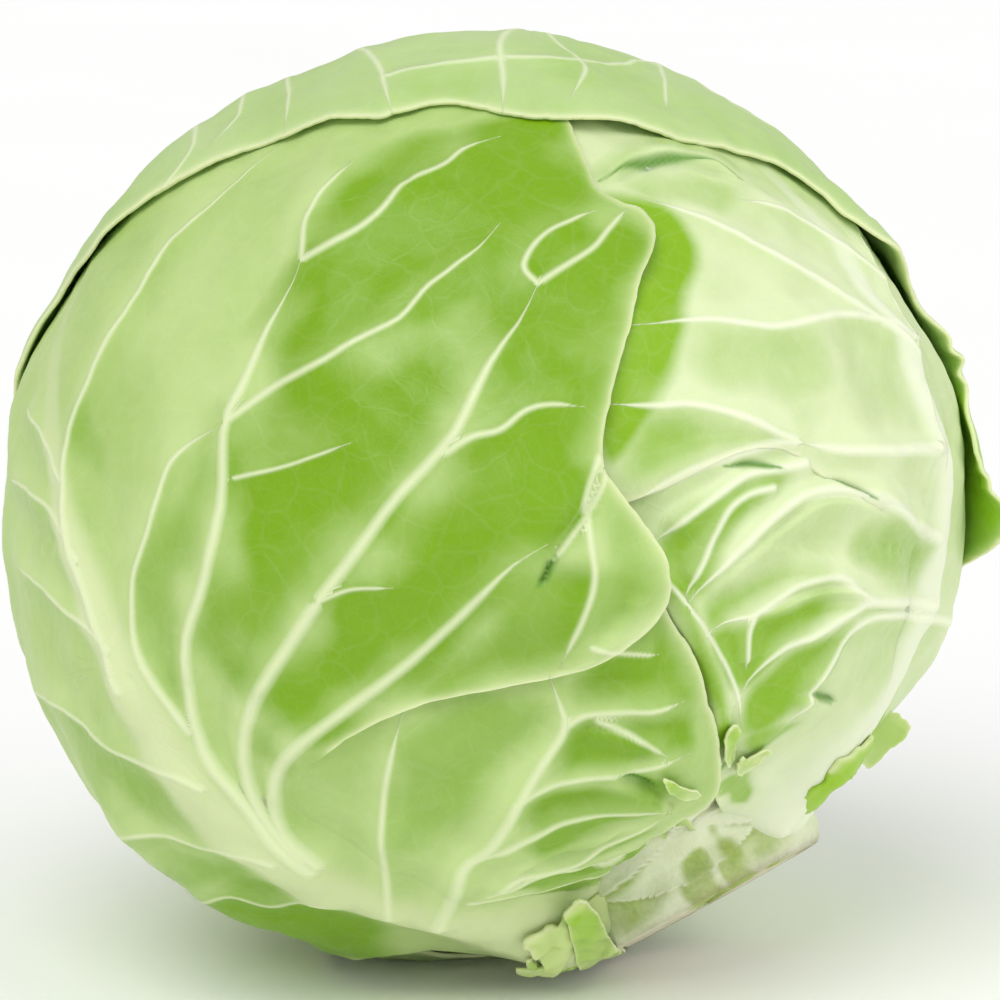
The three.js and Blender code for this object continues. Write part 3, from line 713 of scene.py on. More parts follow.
def joined_zone(blade, dirs):
    """1 beside the midrib that two blades of a leaf share, where they are one sheet, falling to 0
    where they have parted."""
    main = blade["name"].removesuffix("_lobe")
    if main + "_lobe" not in BLADES:
        return np.zeros(len(dirs))
    distance = chain_distance(dirs, BLADES[main]["midrib_line"])[0]
    return 1 - soft_step(distance, JOINED_UP_TO, PARTED_FROM)


def shared(own, common, zone):
    """A blade's own value, turned to the one that both blades of its leaf have where they join."""
    return own + (common - own) * zone


def vein_lines(blade, dirs, lines):
    """Of all the veins, each point keeps the nearest: its distance, the same with the side as its sign
    and its half-width there. The leaf rises to each vein as height * exp(-(d / reach)), rounded off at
    the crest. The last column says which slope of its veins a point is on, as a sum over them of
    tanh(d / 0.8) * exp(-(d / 4)^2) with the side's sign."""
    near = np.full(len(dirs), FAR)
    side, width = near.copy(), np.full(len(dirs), PLAIN_WIDTH)
    raised, slope = np.zeros(len(dirs)), np.zeros(len(dirs))
    own = RELIEF.get(blade["name"], PLAIN_RELIEF)
    zone = joined_zone(blade, dirs)
    height, reach = (shared(mine, common, zone) for mine, common in zip(own, JOINED_RELIEF))
    for start, end, points in lines:
        distance, along, signed = chain_distance(dirs, unit(curve(points, 30)))
        fade = 1 - soft_step(along, 0.8, 1)
        here = VEIN_WIDTH * (start + (end - start) * along)
        rounded = np.sqrt(distance**2 + (0.8 * here) ** 2) - 0.8 * here
        strength = np.minimum(1, here / FULL_WIDTH) * (0.15 + 0.85 * fade)
        raised = np.maximum(raised, height * strength * np.exp(-rounded / reach))
        ends = fade * soft_step(along, 0, 0.12)
        slope += np.tanh(signed / 0.8) * np.exp(-((distance / 4) ** 2)) * ends
        closer = distance < near
        side = np.where(closer, signed, side)
        width = np.where(closer, here * (0.12 + 0.88 * fade), width)
        near = np.minimum(near, distance)
    sunk = 0.3 * height * soft_step(near / reach, 0, 2)
    return near, side, width, raised, sunk, np.clip(slope, -1, 1)


def fold_step(dirs, line, rise, reach):
    """A step along a line: the left side rises to it and drops off sharply, and the ground on the
    right dips a little beside it."""
    distance, along, signed = chain_distance(dirs, line)
    ends = soft_step(along, 0, 0.2) * (1 - soft_step(along, 0.75, 1))
    over = soft_step(signed, -0.5, 0.7)
    raised = over * np.exp(-((distance / reach) ** 2))
    dipped = (1 - over) * np.exp(-((distance / (0.35 * reach)) ** 2))
    return rise * ends * (raised - 0.4 * dipped)


def add_mesh(name, points, faces, attributes, material):
    """Puts points in mm and groups of faces into a new object, smooth, with its named attributes."""
    corners = np.concatenate([group.reshape(-1) for group in faces])
    sizes = np.concatenate([np.full(len(group), group.shape[1]) for group in faces])
    mesh = bpy.data.meshes.new(name)
    mesh.vertices.add(len(points))
    mesh.vertices.foreach_set("co", (points * MM).astype(np.float32).reshape(-1))
    mesh.loops.add(len(corners))
    mesh.loops.foreach_set("vertex_index", corners.astype(np.int32))
    mesh.polygons.add(len(sizes))
    mesh.polygons.foreach_set("loop_start", (np.cumsum(sizes) - sizes).astype(np.int32))
    mesh.polygons.foreach_set("use_smooth", np.ones(len(sizes), bool))
    for key, values in attributes.items():
        layer = mesh.attributes.new(key, "FLOAT", "POINT")
        layer.data.foreach_set("value", np.asarray(values, np.float32))
    mesh.materials.append(material)
    mesh.update(calc_edges=True)
    mesh.validate()
    piece = bpy.data.objects.new(name, mesh)
    bpy.context.scene.collection.objects.link(piece)
    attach(piece, "root")
    return piece


def disc_faces(rows, columns, first):
    """Faces of a round grid whose first point is its middle: a fan, then rings of quads."""
    ring = first + 1 + np.arange(columns)
    after = np.roll(ring, -1)
    fan = np.stack([np.full(columns, first), ring, after], 1)
    steps = (np.arange(rows - 1) * columns)[:, None, None]
    quads = np.stack([ring, ring + columns, after + columns, after], 1)[None] + steps
    return fan, quads.reshape(-1, 4)


# Soft-edged patches of fresh green, where the leaf has little bloom: softness in mm, strength, outline
FRESH_PATCHES = {
    "left": [
        (8, 1.0, [(303, 250), (330, 185), (420, 140), (560, 115), (602, 190), (655, 225), (632, 330),
                  (606, 440), (598, 500), (552, 565), (470, 650), (380, 705), (300, 750), (258, 735),
                  (275, 680), (340, 600), (420, 500), (470, 420), (450, 330), (350, 360), (280, 395),
                  (262, 370)]),
        (9, 0.95, [(240, 430), (440, 330), (480, 400), (420, 500), (330, 610), (262, 700), (222, 690),
                  (212, 600), (228, 510)]),
        (9, 0.65, [(160, 500), (215, 440), (212, 520), (195, 620), (178, 700), (150, 650), (142, 580)]),
        (5, 0.8, [(500, 600), (560, 560), (640, 560), (655, 592), (600, 650), (500, 690), (420, 700)]),
        (5, 0.85, [(215, 882), (300, 890), (360, 918), (388, 946), (340, 955), (270, 935), (212, 905)]),
        (5, 0.6, [(120, 770), (180, 790), (252, 840), (240, 850), (160, 832), (118, 815)]),
        (5, 0.65, [(148, 855), (225, 860), (262, 880), (225, 893), (165, 880)]),
        (3, 0.6, [(600, 470), (640, 530), (650, 575), (610, 600), (596, 560)]),
        (6, 0.55, [(75, 400), (110, 440), (95, 480), (65, 450)]),
        (6, 0.45, [(60, 700), (150, 740), (200, 800), (140, 820), (80, 760)]),
    ],
    "left_lobe": [
        (5, 0.55, [(402, 716), (520, 692), (556, 700), (548, 735), (500, 780), (450, 830), (400, 850),
                   (388, 790)]),
        (3, 0.9, [(575, 722), (650, 718), (690, 712), (700, 745), (640, 760), (560, 775)]),
        (3, 0.9, [(520, 815), (600, 785), (670, 790), (640, 812), (540, 850)]),
        (3, 1.0, [(520, 880), (600, 858), (655, 845), (640, 890), (560, 895)]),
        (4, 0.8, [(590, 650), (650, 600), (680, 650), (695, 700), (580, 705)]),
        (3, 0.7, [(540, 855), (600, 835), (660, 825), (620, 850), (560, 870)]),
    ],
    "right": [
        (2.0, 1.0, [(600, 200), (660, 205), (690, 235), (692, 285), (680, 340), (650, 420), (610, 465),
                    (590, 400)]),
        (4, 0.8, [(640, 420), (700, 420), (790, 440), (740, 452), (650, 490), (625, 480)]),
        (3, 0.5, [(603, 172), (625, 150), (660, 137), (690, 140), (720, 152), (742, 172), (700, 158),
                  (650, 158), (620, 168)]),
        (3, 0.45, [(636, 186), (690, 174), (735, 186), (725, 214), (680, 204), (645, 196)]),
        (5, 0.4, [(700, 345), (800, 335), (830, 350), (800, 400), (720, 395)]),
    ],
    "right_lobe": [
        (3, 0.9, [(660, 560), (690, 510), (760, 475), (780, 480), (730, 520), (700, 590), (676, 600)]),
        (3, 0.75, [(700, 610), (750, 575), (800, 560), (830, 575), (780, 590), (740, 615), (705, 630)]),
        (3, 0.95, [(700, 640), (750, 618), (830, 592), (850, 605), (790, 640), (750, 685), (722, 690)]),
        (3, 0.6, [(885, 520), (930, 548), (930, 580), (880, 590), (850, 560)]),
        (3, 0.9, [(740, 705), (790, 650), (850, 622), (820, 675), (785, 715), (755, 735)]),
        (2, 1.0, [(660, 575), (670, 572), (705, 640), (728, 700), (732, 740), (718, 745), (700, 690)]),
        (2, 1.0, [(722, 790), (738, 780), (758, 784), (752, 810), (734, 808)]),
        (2, 0.8, [(765, 864), (763, 840), (772, 820), (786, 816), (788, 836), (780, 858)]),
        (2, 0.7, [(748, 740), (780, 722), (800, 724), (770, 748), (752, 756)]),
    ],
    "back": [
        (7, 0.4, [(540, 40), (640, 62), (650, 100), (560, 98)]),
        (6, 0.4, [(400, 70), (490, 60), (490, 100), (400, 110)]),
    ],
}

# Round patches, as bumps, and how green the rest of a leaf is
FRESH_SPOTS = {"back": [(86, 66, 20, 1.0)], "torn_right": [(68, 28, 20, 1.0)]}
BARE_GROUND = {"right": 0.06, "right_lobe": 0.12, "left": 0.14, "left_lobe": 0.25}
JOINED_GROUND = 0.15
PLAIN_GROUND = 0.2


# The side of a vein painted greener as shade, away from the light, seen along the vein from the midrib: 1 is
# the left
SHADED_VEIN_SIDE = {"left": -1, "left_lobe": -1, "right": 1, "right_lobe": 1}


def shaded_side(blade, dirs):
    """Shade is painted on one slope of each vein and not on the other: 1 where it is painted on the left
    of a vein, -1 where on the right, turning over at the midrib of the left leaf."""
    sign = SHADED_VEIN_SIDE.get(blade["name"], 0)
    if sign >= 0:
        return np.full(len(dirs), float(sign))
    main = BLADES[blade["name"].removesuffix("_lobe")]
    return np.tanh(chain_distance(dirs, main["midrib_line"])[2] / 4)


def freshness_and_shade(blade, dirs, zone, veins):
    """How green and free of bloom the leaf is, from 0 to 1: soft-edged patches over a blotchy ground,
    with painted shade that makes it greener in the hollows and on one slope of the veins, and painted
    light that makes it paler on their ridges. Where two blades join, each has the other's patches too."""
    name = blade["name"]
    amount = shared(BARE_GROUND.get(name, PLAIN_GROUND), JOINED_GROUND, zone)
    amount = amount + 0.09 * ripple(dirs, 42, 31) + 0.05 * ripple(dirs, 15, 32)
    amount += bumps(dirs, FRESH_SPOTS.get(name, []))
    for owner in blades_of(name):
        weight = 1 if owner == name else zone
        for softness, strength, pixels in FRESH_PATCHES.get(owner, []):
            outline = unit(curve(seen_at(pixels, face_of(blade)), 60, closed=True))
            flat_outline = blade["map"].flat(outline)
            distance = in_lots(lambda lot: chain_distance(lot, outline, closed=True)[0], dirs)
            covered = inside_polygon(blade["map"].flat(dirs), flat_outline)
            signed = np.where(covered, distance, -distance) + 0.3 * softness * ripple(dirs, 11, 33)
            amount = np.maximum(amount, weight * strength * soft_step(signed, -softness, softness))
    amount = np.clip(amount, 0, 1)
    hollows = shared(HOLLOW_SHADE.get(name, PLAIN_HOLLOW_SHADE), JOINED_HOLLOW_SHADE, zone)
    full_height = shared(RELIEF.get(name, PLAIN_RELIEF)[0], JOINED_RELIEF[0], zone)
    # Painted shade and light: greener in the hollows between the veins, paler on their ridges
    amount += hollows * (0.35 - veins["ridge"] / full_height)
    # Painted shade: greener on the slope of each vein that is turned from the light
    amount += 0.22 * veins["slope"] * in_lots(lambda lot: shaded_side(blade, lot), dirs)
    return np.clip(amount, 0, 1)


# A leaf's mesh. The slow shapes are worked out on a grid this many of its steps apart, and the inner
# face keeps one row in so many, because it lies against the leaf below.
COARSER = 3
INNER_FACE_STEP = 8

# Nicks in a margin: how many waves each has in so many mm of it, and their depth together in mm
NICK_WAVES = (2, 3, 5, 8, 12, 17)
NICK_SPAN = 60
NICK_DEPTH = 0.22

# Where a lobe lies beside its leaf's main blade, in mm inside that blade's margin: it is drawn to the
# same surface from the first to the second, and dips under it from the third to the fourth
LOBE_FOLLOWS = (-12, -1)
LOBE_DIPS = (0.5, 8)
LOBE_DIP = 1.3

# Unevenness of the whole sheet: height and wave length in mm
LEAF_WAVES = ((0.22, 16), (0.1, 6))

# What a margin does, in mm: how much, and how far in it reaches. A joined margin is tucked under, and
# one that reaches the stump between these polar angles runs out into the stem's skin.
TUCK, TUCK_REACH = 0.35, 3
ROOT_FROM, ROOT_TO = 17, 27
ROOT_SINKS, ROOT_REACH = 2.4, 4
SETTLE_REACH = 3.5
CURL_REACH = 2.2
THINNING_REACH = 2.5
FRILL_REACH = 5

# Frills of a curly margin: longitude and polar angle of their middle, how far they reach, height and
# spacing in mm
FRILLS = {
    "back": [(84, 66, 24, 1.0, 11)],
    "torn_right": [(75, 30, 14, 0.5, 6)],
    "torn_low": [(-52, 24, 14, 0.9, 5)],
}


def leaf_rim(blade, coarse, ragged, seed):
    """The blade's outline laid out flat, evenly spaced and nicked by a sum of sines of seeded height
    and phase, and the outline's length."""
    outline = curve(blade["flat_edge"], 900, closed=True)
    perimeter = np.linalg.norm(np.diff(outline, axis=0), axis=1).sum()
    columns = COARSER * int(perimeter / (COLUMN_SPACING * COARSER * coarse))
    rim = curve(blade["flat_edge"], columns, closed=True)
    around = np.linspace(0, 2 * np.pi, columns, endpoint=False)
    rng = np.random.default_rng(seed)
    notch = sum(
        rng.uniform(0.4, 1)
        * np.sin(round(k * perimeter / NICK_SPAN) * around + rng.uniform(0, 6.3))
        / k**0.5
        for k in NICK_WAVES
    )
    outward = rim / np.linalg.norm(rim, axis=1, keepdims=True)
    return rim + outward * (NICK_DEPTH + ragged) * np.clip(notch, -2, 0.6)[:, None], perimeter


def round_grid(rim, rows):
    """A flat grid inside a closed line: its middle, then rows of the line drawn in to it."""
    spread = np.arange(1, rows + 1)[:, None, None] / rows
    return np.concatenate([np.zeros((1, 2)), (spread * rim[None]).reshape(-1, 2)])


def filled_in(rough, rows, columns):
    """A coarse polar grid filled in to rows * columns, in straight lines both ways. Its first row is
    the middle and becomes a single value."""
    marks = np.linspace(0, rows, len(rough))
    wide = np.concatenate([rough, rough[:, :1]], 1)
    turns = np.linspace(0, columns, wide.shape[1])
    wide = np.stack([np.interp(np.arange(columns), turns, row) for row in wide])
    low = np.clip(np.searchsorted(marks, np.arange(1, rows + 1)) - 1, 0, len(marks) - 2)
    part = ((np.arange(1, rows + 1) - marks[low]) / (marks[1] - marks[0]))[:, None]
    return np.concatenate([rough[0, :1], (wide[low] * (1 - part) + wide[low + 1] * part).reshape(-1)])


def slow_radius(blade, rim, rows, other):
    """The other blade's outer radius at the points of this blade's grid, filled in from a coarse one."""
    rough_rows = np.arange(0, rows + 1, COARSER)
    rough_flat = (rough_rows / rows)[:, None, None] * rim[None, ::COARSER]
    rough = face_of(other)(blade["map"].directions(rough_flat.reshape(-1, 2)))
    return filled_in(rough.reshape(len(rough_rows), -1), rows, len(rim))


def joined_lobe(blade, dirs, radius, zone, rim, rows):
    """A lobe's radius where its leaf's main blade is beside it: one surface with that blade along the
    midrib that they share, and under it inside its margin."""
    main = BLADES[blade["name"].removesuffix("_lobe")]
    beside = in_lots(lambda lot: inside_margin(main, lot), dirs)
    pull = zone * soft_step(beside, *LOBE_FOLLOWS)
    radius = radius + pull * (slow_radius(blade, rim, rows, main) - radius)
    return radius - LOBE_DIP * soft_step(beside, *LOBE_DIPS) * (1 - soft_step(1 - zone, 0.5, 1))


def leaf_veins(blade, dirs):
    """What vein_lines says of all the leaf's veins, by name."""
    lines = [line for owner in blades_of(blade["name"]) for line in drawn_veins(owner)]
    if blade["name"] in HERRINGBONE_LEAVES:
        lines += herringbone(blade)
    columns = in_lots(lambda lot: vein_lines(blade, lot, lines), dirs)
    return dict(zip(("near", "side", "width", "ridge", "sunk", "slope"), columns))


def folds(blade, dirs):
    """How far the blade's folds raise it."""
    total = np.zeros(len(dirs))
    for rise, reach, points in FOLDS.get(blade["name"], []):
        fold = unit(curve(seen_at(points, face_of(blade)), 24))
        total += in_lots(lambda lot: fold_step(lot, fold, rise, reach), dirs)
    return total


def creases(blade, dirs):
    """The leaf's deep creases: how far into one each point is, exp(-(d / half-width)^2) with a
    half-width that tapers to both ends, which masks the shade painted in them, and how deep it is there."""
    into, deep = np.zeros(len(dirs)), np.zeros(len(dirs))
    for half, depth, points in sum((CREASES.get(owner, []) for owner in blades_of(blade["name"])), []):
        line = unit(curve(seen_at(points, face_of(blade)), 16))
        away, along, _ = in_lots(lambda lot: chain_distance(lot, line), dirs)
        taper = soft_step(along, 0, 0.35) * (1 - soft_step(along, 0.65, 1))
        cut = np.exp(-((away / (half * (0.3 + 0.7 * taper))) ** 2))
        into = np.maximum(into, cut)
        deep += depth * taper * cut
    return into, deep


def rolls(blade, dirs):
    """How far the blade's rolled-up margins raise it: the round of a tube that thins out at its ends."""
    total = np.zeros(len(dirs))
    for height, points in ROLLS.get(blade["name"], []):
        roll = unit(curve(seen_at(points, face_of(blade)), 24))
        away, along, _ = in_lots(lambda lot: chain_distance(lot, roll), dirs)
        ends = soft_step(along, 0, 0.15) * (1 - soft_step(along, 0.85, 1))
        total += height * ends * np.sqrt(np.maximum(0, 1 - (away / ROLL_RADIUS) ** 2))
    return total


def frills(blade, dirs, inside, travelled, seed):
    """Ruffles of a curly margin: a bump * exp(-inside / reach) * sin(phase + 1.9 sin(0.37 phase)). The
    phase turns once in each spacing along the margin, and the inner sine makes them uneven."""
    total = np.zeros(len(dirs))
    for longitude, polar, reach, height, spacing in FRILLS.get(blade["name"], []):
        there = bumps(dirs, [(longitude, polar, reach, height)]) * np.exp(-inside / FRILL_REACH)
        phase = 2 * np.pi * travelled / spacing
        uneven = 0.65 + 0.5 * ripple(dirs, 22, seed + 5)
        total += there * uneven * np.sin(phase + 1.9 * np.sin(0.37 * phase))
    return total


def margin_shape(dirs, inside, free, root, curl, settle, seed):
    """What the margin adds to the radius, each part amount * exp(-inside / reach): a joined one is
    tucked under, one at the stump sinks into the stem, and a free one settles onto the leaf below
    with its very edge turned up a little and unevenly."""
    up = curl * (0.7 + 0.5 * ripple(dirs, 14, seed + 2)) * np.exp(-inside / CURL_REACH)
    down = settle * np.exp(-inside / SETTLE_REACH)
    tucked = (1 - free) * TUCK * np.exp(-inside / TUCK_REACH)
    sunk = root * ROOT_SINKS * np.exp(-inside / ROOT_REACH)
    return free * (up - down) - tucked - sunk


def sheet_mesh(name, outer, inner, columns, outside, attributes, material):
    """A closed sheet: an outer and an inner face, each a round grid, and the wall round them. Where
    the outer face looks away from the outside, every face is turned over."""
    rows, rows_in = ((len(face) - 1) // columns for face in (outer, inner))
    fan, quads = disc_faces(rows, columns, 0)
    fan_in, quads_in = disc_faces(rows_in, columns, len(outer))
    edge = 1 + (rows - 1) * columns + np.arange(columns)
    edge_in = len(outer) + 1 + (rows_in - 1) * columns + np.arange(columns)
    wall = np.stack([np.roll(edge, -1), edge, edge_in, np.roll(edge_in, -1)], 1)
    faces = [fan, quads, fan_in[:, ::-1], quads_in[:, ::-1], wall]
    if np.dot(np.cross(outer[2] - outer[0], outer[1] - outer[0]), outside) > 0:
        faces = [group[:, ::-1] for group in faces]
    return add_mesh(name, np.concatenate([outer, inner]), faces, attributes, material)


def leaf_piece(name, material, seed, ragged=0.0, curl=0.3, settle=0.8, coarse=1.0):
    """A leaf as a closed sheet. Its grid has two parameters: the fraction of the way from the blade's
    centre to its margin, and how far round the margin. Each grid point is a direction, and the two
    faces are its outer radius and that less the thickness there."""
    blade = BLADES[name]
    rim, perimeter = leaf_rim(blade, coarse, ragged, seed)
    columns = len(rim)
    rows = COARSER * int(np.linalg.norm(rim, axis=1).max() / (ROW_SPACING * COARSER * coarse))
    dirs = blade["map"].directions(round_grid(rim, rows))
    edge_line = blade["map"].directions(rim[::2])
    inside, edge_along, _ = in_lots(lambda lot: chain_distance(lot, edge_line, closed=True), dirs)
    rib, rib_along, _ = in_lots(lambda lot: chain_distance(lot, blade["midrib_line"]), dirs)
    zone = in_lots(lambda lot: joined_zone(blade, lot), dirs)
    polar = from_stem(dirs)
    root = 1 - soft_step(polar, ROOT_FROM, ROOT_TO)
    _, near_rib, far_rib = blade.get("joins", (None, -2, -1))
    free = soft_step(rib, 0.5 * (near_rib + far_rib), far_rib)

    radius = slow_radius(blade, rim, rows, blade)
    if name.endswith("_lobe"):
        radius = joined_lobe(blade, dirs, radius, zone, rim, rows)
    veins = leaf_veins(blade, dirs)
    crease, crease_depth = creases(blade, dirs)
    radius += folds(blade, dirs)
    radius += (veins["ridge"] - veins["sunk"]) * shared(soft_step(inside, 0.2, 3), 1, zone)
    radius -= crease_depth
    for k, (height, length) in enumerate(LEAF_WAVES):
        radius += height * ripple(dirs, length, seed + k)
    radius += margin_shape(dirs, inside, free, root, curl, settle, seed)
    radius += frills(blade, dirs, inside, edge_along * perimeter, seed)
    radius += rolls(blade, dirs)

    band = np.exp(-((rib / (0.95 * rib_width(blade, rib_along))) ** 4))
    band *= (1 - soft_step(rib_along, 0.6, 1)) * (blade["rib"][0] > 0)
    # How green: bloom rubbed off, and painted shade in the hollows and on one slope of the veins
    fresh = freshness_and_shade(blade, dirs, zone, veins)
    stalk = 0.65 * (1 - soft_step(polar, 18, 52)) + 0.35 * (1 - soft_step(polar, 16, 25))
    attributes = {
        "vein_near": veins["near"],
        "vein_side": veins["side"],
        "vein_width": veins["width"],
        "inside": inside + FAR * (1 - free) + FAR * root,
        "band": band,
        "fresh": fresh,
        "stalk": STALK_SHARE.get(name, 1) * stalk * (1 - 0.75 * soft_step(fresh, 0.45, 0.95)),
        # Painted shade: how far into a crease, where the leaf is darkened to deep green
        "crease": crease,
    }
    thickness = LAMINA + (LAMINA_AT_MARGIN - LAMINA) * np.exp(-inside / THINNING_REACH)
    inner_radius = radius - thickness - veins["ridge"] - np.where(inside > 3, 0.2, 0)
    kept = np.unique(np.concatenate([np.arange(rows, 0, -INNER_FACE_STEP), [1]]))
    pick = np.concatenate([[0], (1 + (kept - 1)[:, None] * columns + np.arange(columns)).reshape(-1)])
    outer = place(dirs, radius)
    inner = place(dirs[pick], inner_radius[pick], 0.9 * LAMINA)
    doubled = {key: np.concatenate([values, values[pick]]) for key, values in attributes.items()}
    return sheet_mesh(name + "_leaf", outer, inner, columns, dirs[0], doubled, material)


def stump_radius(dirs):
    """Distance to the stump from the head's centre: its cut near the axis, its side further out."""
    along = np.maximum(dirs @ STEM_AXIS, 0.3)
    across = np.sqrt(np.maximum(1e-6, 1 - along**2))
    return np.minimum(STEM_CUT_AT / along, (STEM_CUT_RADIUS + 1.5) / across)


def top_radius(dirs):
    """Distance to the outermost thing in each direction near the stump."""
    reach = stump_radius(dirs)
    for name in ("left", "left_lobe", "right", "right_lobe", "front"):
        radius, inside = outer_radius(BLADES[name], dirs)
        reach = np.maximum(reach, np.where(inside > 0, radius, 0))
    return reach


# Scraps that stay where leaves were torn off, as pixels round each: name, height that the far end
# stands up to in mm, and the outline with its attached end first
SCRAPS = [
    ("middle_stub", 1.6, [(729, 766), (721, 750), (723, 732), (729, 720), (736, 727), (736, 745),
                          (734, 762)]),
    ("forked_stub", 1.8, [(742, 776), (735, 764), (738, 752), (747, 758), (757, 750), (766, 746),
                          (763, 758), (752, 767)]),
    ("upper_stub", 1.6, [(700, 800), (686, 799), (671, 793), (663, 784), (662, 774), (672, 779),
                         (684, 786), (698, 791)]),
    ("bark_stub", 1.3, [(696, 830), (691, 842), (674, 849), (664, 843), (668, 832), (682, 826)]),
    ("low_flap", 1.8, [(622, 926), (606, 938), (586, 940), (568, 928), (563, 910), (577, 902), (602, 907),
                       (616, 914)]),
    ("low_stub", 1.8, [(606, 944), (596, 958), (574, 966), (550, 970), (530, 960), (540, 950), (556, 952),
                       (568, 942), (588, 942)]),
]

# A torn flap that stands out past the head's side, facing the viewer, in the same pixels. It is
# attached at the first of them, and its inner side is hidden in the head.
SIDE_FLAP = [(866, 768), (857, 757), (856, 745), (862, 732), (873, 719), (886, 711), (896, 713), (907, 721),
             (911, 728), (901, 741), (889, 751), (877, 765)]


# How far a torn rim's distance from its middle varies, the waves that it does so in, and a scrap's
# mesh: points round its rim and rows of them
TORN_WAVES = (3, 5, 8, 11, 15, 19)
SCRAP_RAGGED, FLAP_RAGGED = 0.06, 0.05
SCRAP_COLUMNS, SCRAP_ROWS, FLAP_ROWS = 120, 26, 22

# The side flap starts this far behind its attached end, and curls so far towards the viewer over its
# length, all in mm
FLAP_BEHIND, FLAP_CURL, FLAP_LENGTH = 1.2, 2.5, 9


def torn(rim, seed, amount):
    """A closed line made ragged: its distance from its middle grows and shrinks by a sum of sines."""
    rng = np.random.default_rng(seed)
    around = np.linspace(0, 2 * np.pi, len(rim), endpoint=False)
    jag = sum(np.sin(k * around + rng.uniform(0, 6.3)) / k**0.5 for k in TORN_WAVES)
    return rim * (1 + amount * jag[:, None])


def torn_sheet(name, outer, inner, rows, outside, t, material, seed):
    """A torn scrap as a closed sheet with its attributes: t is 0 at its attached end, where it is
    creamier, and 1 at the other."""
    columns = SCRAP_COLUMNS
    dirs = unit(outer - HEAD_CENTRE)
    streak = 0.5 + 1.2 * np.abs(ripple(dirs, 9, seed + 2))
    inwards = 1 - np.concatenate([[0], np.repeat(np.arange(1, rows + 1) / rows, columns)])
    attributes = {
        "vein_near": streak,
        "vein_side": streak,
        "vein_width": np.full(len(dirs), PLAIN_WIDTH),
        "inside": inwards * FAR,
        "band": np.zeros(len(dirs)),
        "fresh": 0.75 + 0.25 * ripple(dirs, 7, seed + 3),
        "stalk": 0.5 * (1 - t),
        "crease": 0.25 * np.clip(ripple(dirs, 6, seed + 4), 0, 1) * (1 - t),
    }
    doubled = {key: np.concatenate([values, values]) for key, values in attributes.items()}
    return sheet_mesh(name, outer, inner, columns, outside, doubled, material)


def scrap_piece(name, rise, pixels, material, seed):
    """A torn scrap as a closed sheet: a round grid inside its outline, lying on what is under it at
    the attached end, lifted by rise * t^2 towards the far end, and cockled."""
    outline = unit(curve(seen_at(pixels, top_radius), SCRAP_COLUMNS, closed=True))
    flat_map = LeafMap(unit(outline.mean(0)), STEM_AXIS)
    rim = torn(flat_map.flat(outline), seed, SCRAP_RAGGED)
    flat = round_grid(rim, SCRAP_ROWS)
    dirs = flat_map.directions(flat)
    length = np.linalg.norm(rim[0])
    t = np.clip((flat @ -rim[0] / length + length) / (2 * length), 0, 1)
    low = top_radius(flat_map.directions(rim)).mean()
    radius = 0.3 * low + 0.7 * top_radius(dirs) + 0.35 + rise * t**2
    radius += 0.3 * ripple(dirs, 5, seed) + 0.2 * ripple(dirs, 2.5, seed + 1)
    outer, inner = place(dirs, radius), place(dirs, radius - LAMINA_AT_MARGIN)
    return torn_sheet(name, outer, inner, SCRAP_ROWS, flat_map.centre, t, material, seed)


def side_flap(material, seed):
    """The torn flap at the head's right edge: a sheet facing the viewer, worked out from its pixels at
    the depth of its attached end, and curling towards the viewer by curl * t^2."""
    pixels = curve(SIDE_FLAP, SCRAP_COLUMNS, closed=True)
    attached = seen_at(pixels[:1], top_radius)
    at = attached[0] * top_radius(attached)[0]
    depth = (at - CAMERA_PLACE) @ VIEW_INTO
    middle = pixels.mean(0)
    rim = torn((pixels - middle) / PIXELS_PER_MM, seed, FLAP_RAGGED)
    flat = round_grid(rim, FLAP_ROWS)
    x, y = (flat + (middle - PICTURE_CENTRE) / PIXELS_PER_MM).T * depth / CAMERA_DISTANCE
    t = np.clip(np.linalg.norm(flat - rim[0], axis=1) / FLAP_LENGTH, 0, 1)
    points = HEAD_CENTRE + CAMERA_PLACE + x[:, None] * VIEW_RIGHT - y[:, None] * VIEW_UP
    cockle = 0.4 * ripple(unit(points - HEAD_CENTRE), 6, seed)
    outer = points + (depth + FLAP_BEHIND - FLAP_CURL * t**2 + cockle)[:, None] * VIEW_INTO
    inner = outer + LAMINA_AT_MARGIN * VIEW_INTO
    return torn_sheet("side_flap", outer, inner, FLAP_ROWS, -VIEW_INTO, t, material, seed)


def linear(hex_colour):
    """An sRGB hex colour as linear red, green, blue and alpha."""
    channels = np.array([int(hex_colour[k : k + 2], 16) / 255 for k in (1, 3, 5)])
    values = np.where(channels <= 0.04045, channels / 12.92, ((channels + 0.055) / 1.055) ** 2.4)
    return (*values.tolist(), 1.0)


def node(tree, kind, inputs=None, **settings):
    """Adds a shader node with its settings, and gives each input its value or its link."""
    made = tree.nodes.new(kind)
    for key, value in settings.items():
        setattr(made, key, value)
    for key, value in (inputs or {}).items():
        if isinstance(value, bpy.types.NodeSocket):
            tree.links.new(value, made.inputs[key])
        else:
            made.inputs[key].default_value = value
    return made


def new_material(name, **constants):
    """A material with its shader's constant values set, and its tree, shader and object coordinates."""
    material = bpy.data.materials.new(name)
    material.use_nodes = True
    tree = material.node_tree
    shader = tree.nodes["Principled BSDF"]
    for key, value in constants.items():
        shader.inputs[key.replace("_", " ")].default_value = value
    return material, tree, shader, node(tree, "ShaderNodeTexCoord").outputs["Object"]


def attribute_values(tree, keys):
    """The mesh's own attributes of these names."""
    return {key: node(tree, "ShaderNodeAttribute", attribute_name=key).outputs["Fac"] for key in keys}


def mixed(tree, factor, a, b):
    """Colour a turned to colour b by the factor."""
    made = node(tree, "ShaderNodeMix", {0: factor, 6: a, 7: b}, data_type="RGBA")
    return made.outputs[2]


def sums(tree, operation, a, b, clamp=False):
    """One arithmetic step."""
    return node(tree, "ShaderNodeMath", {0: a, 1: b}, operation=operation, use_clamp=clamp).outputs[0]


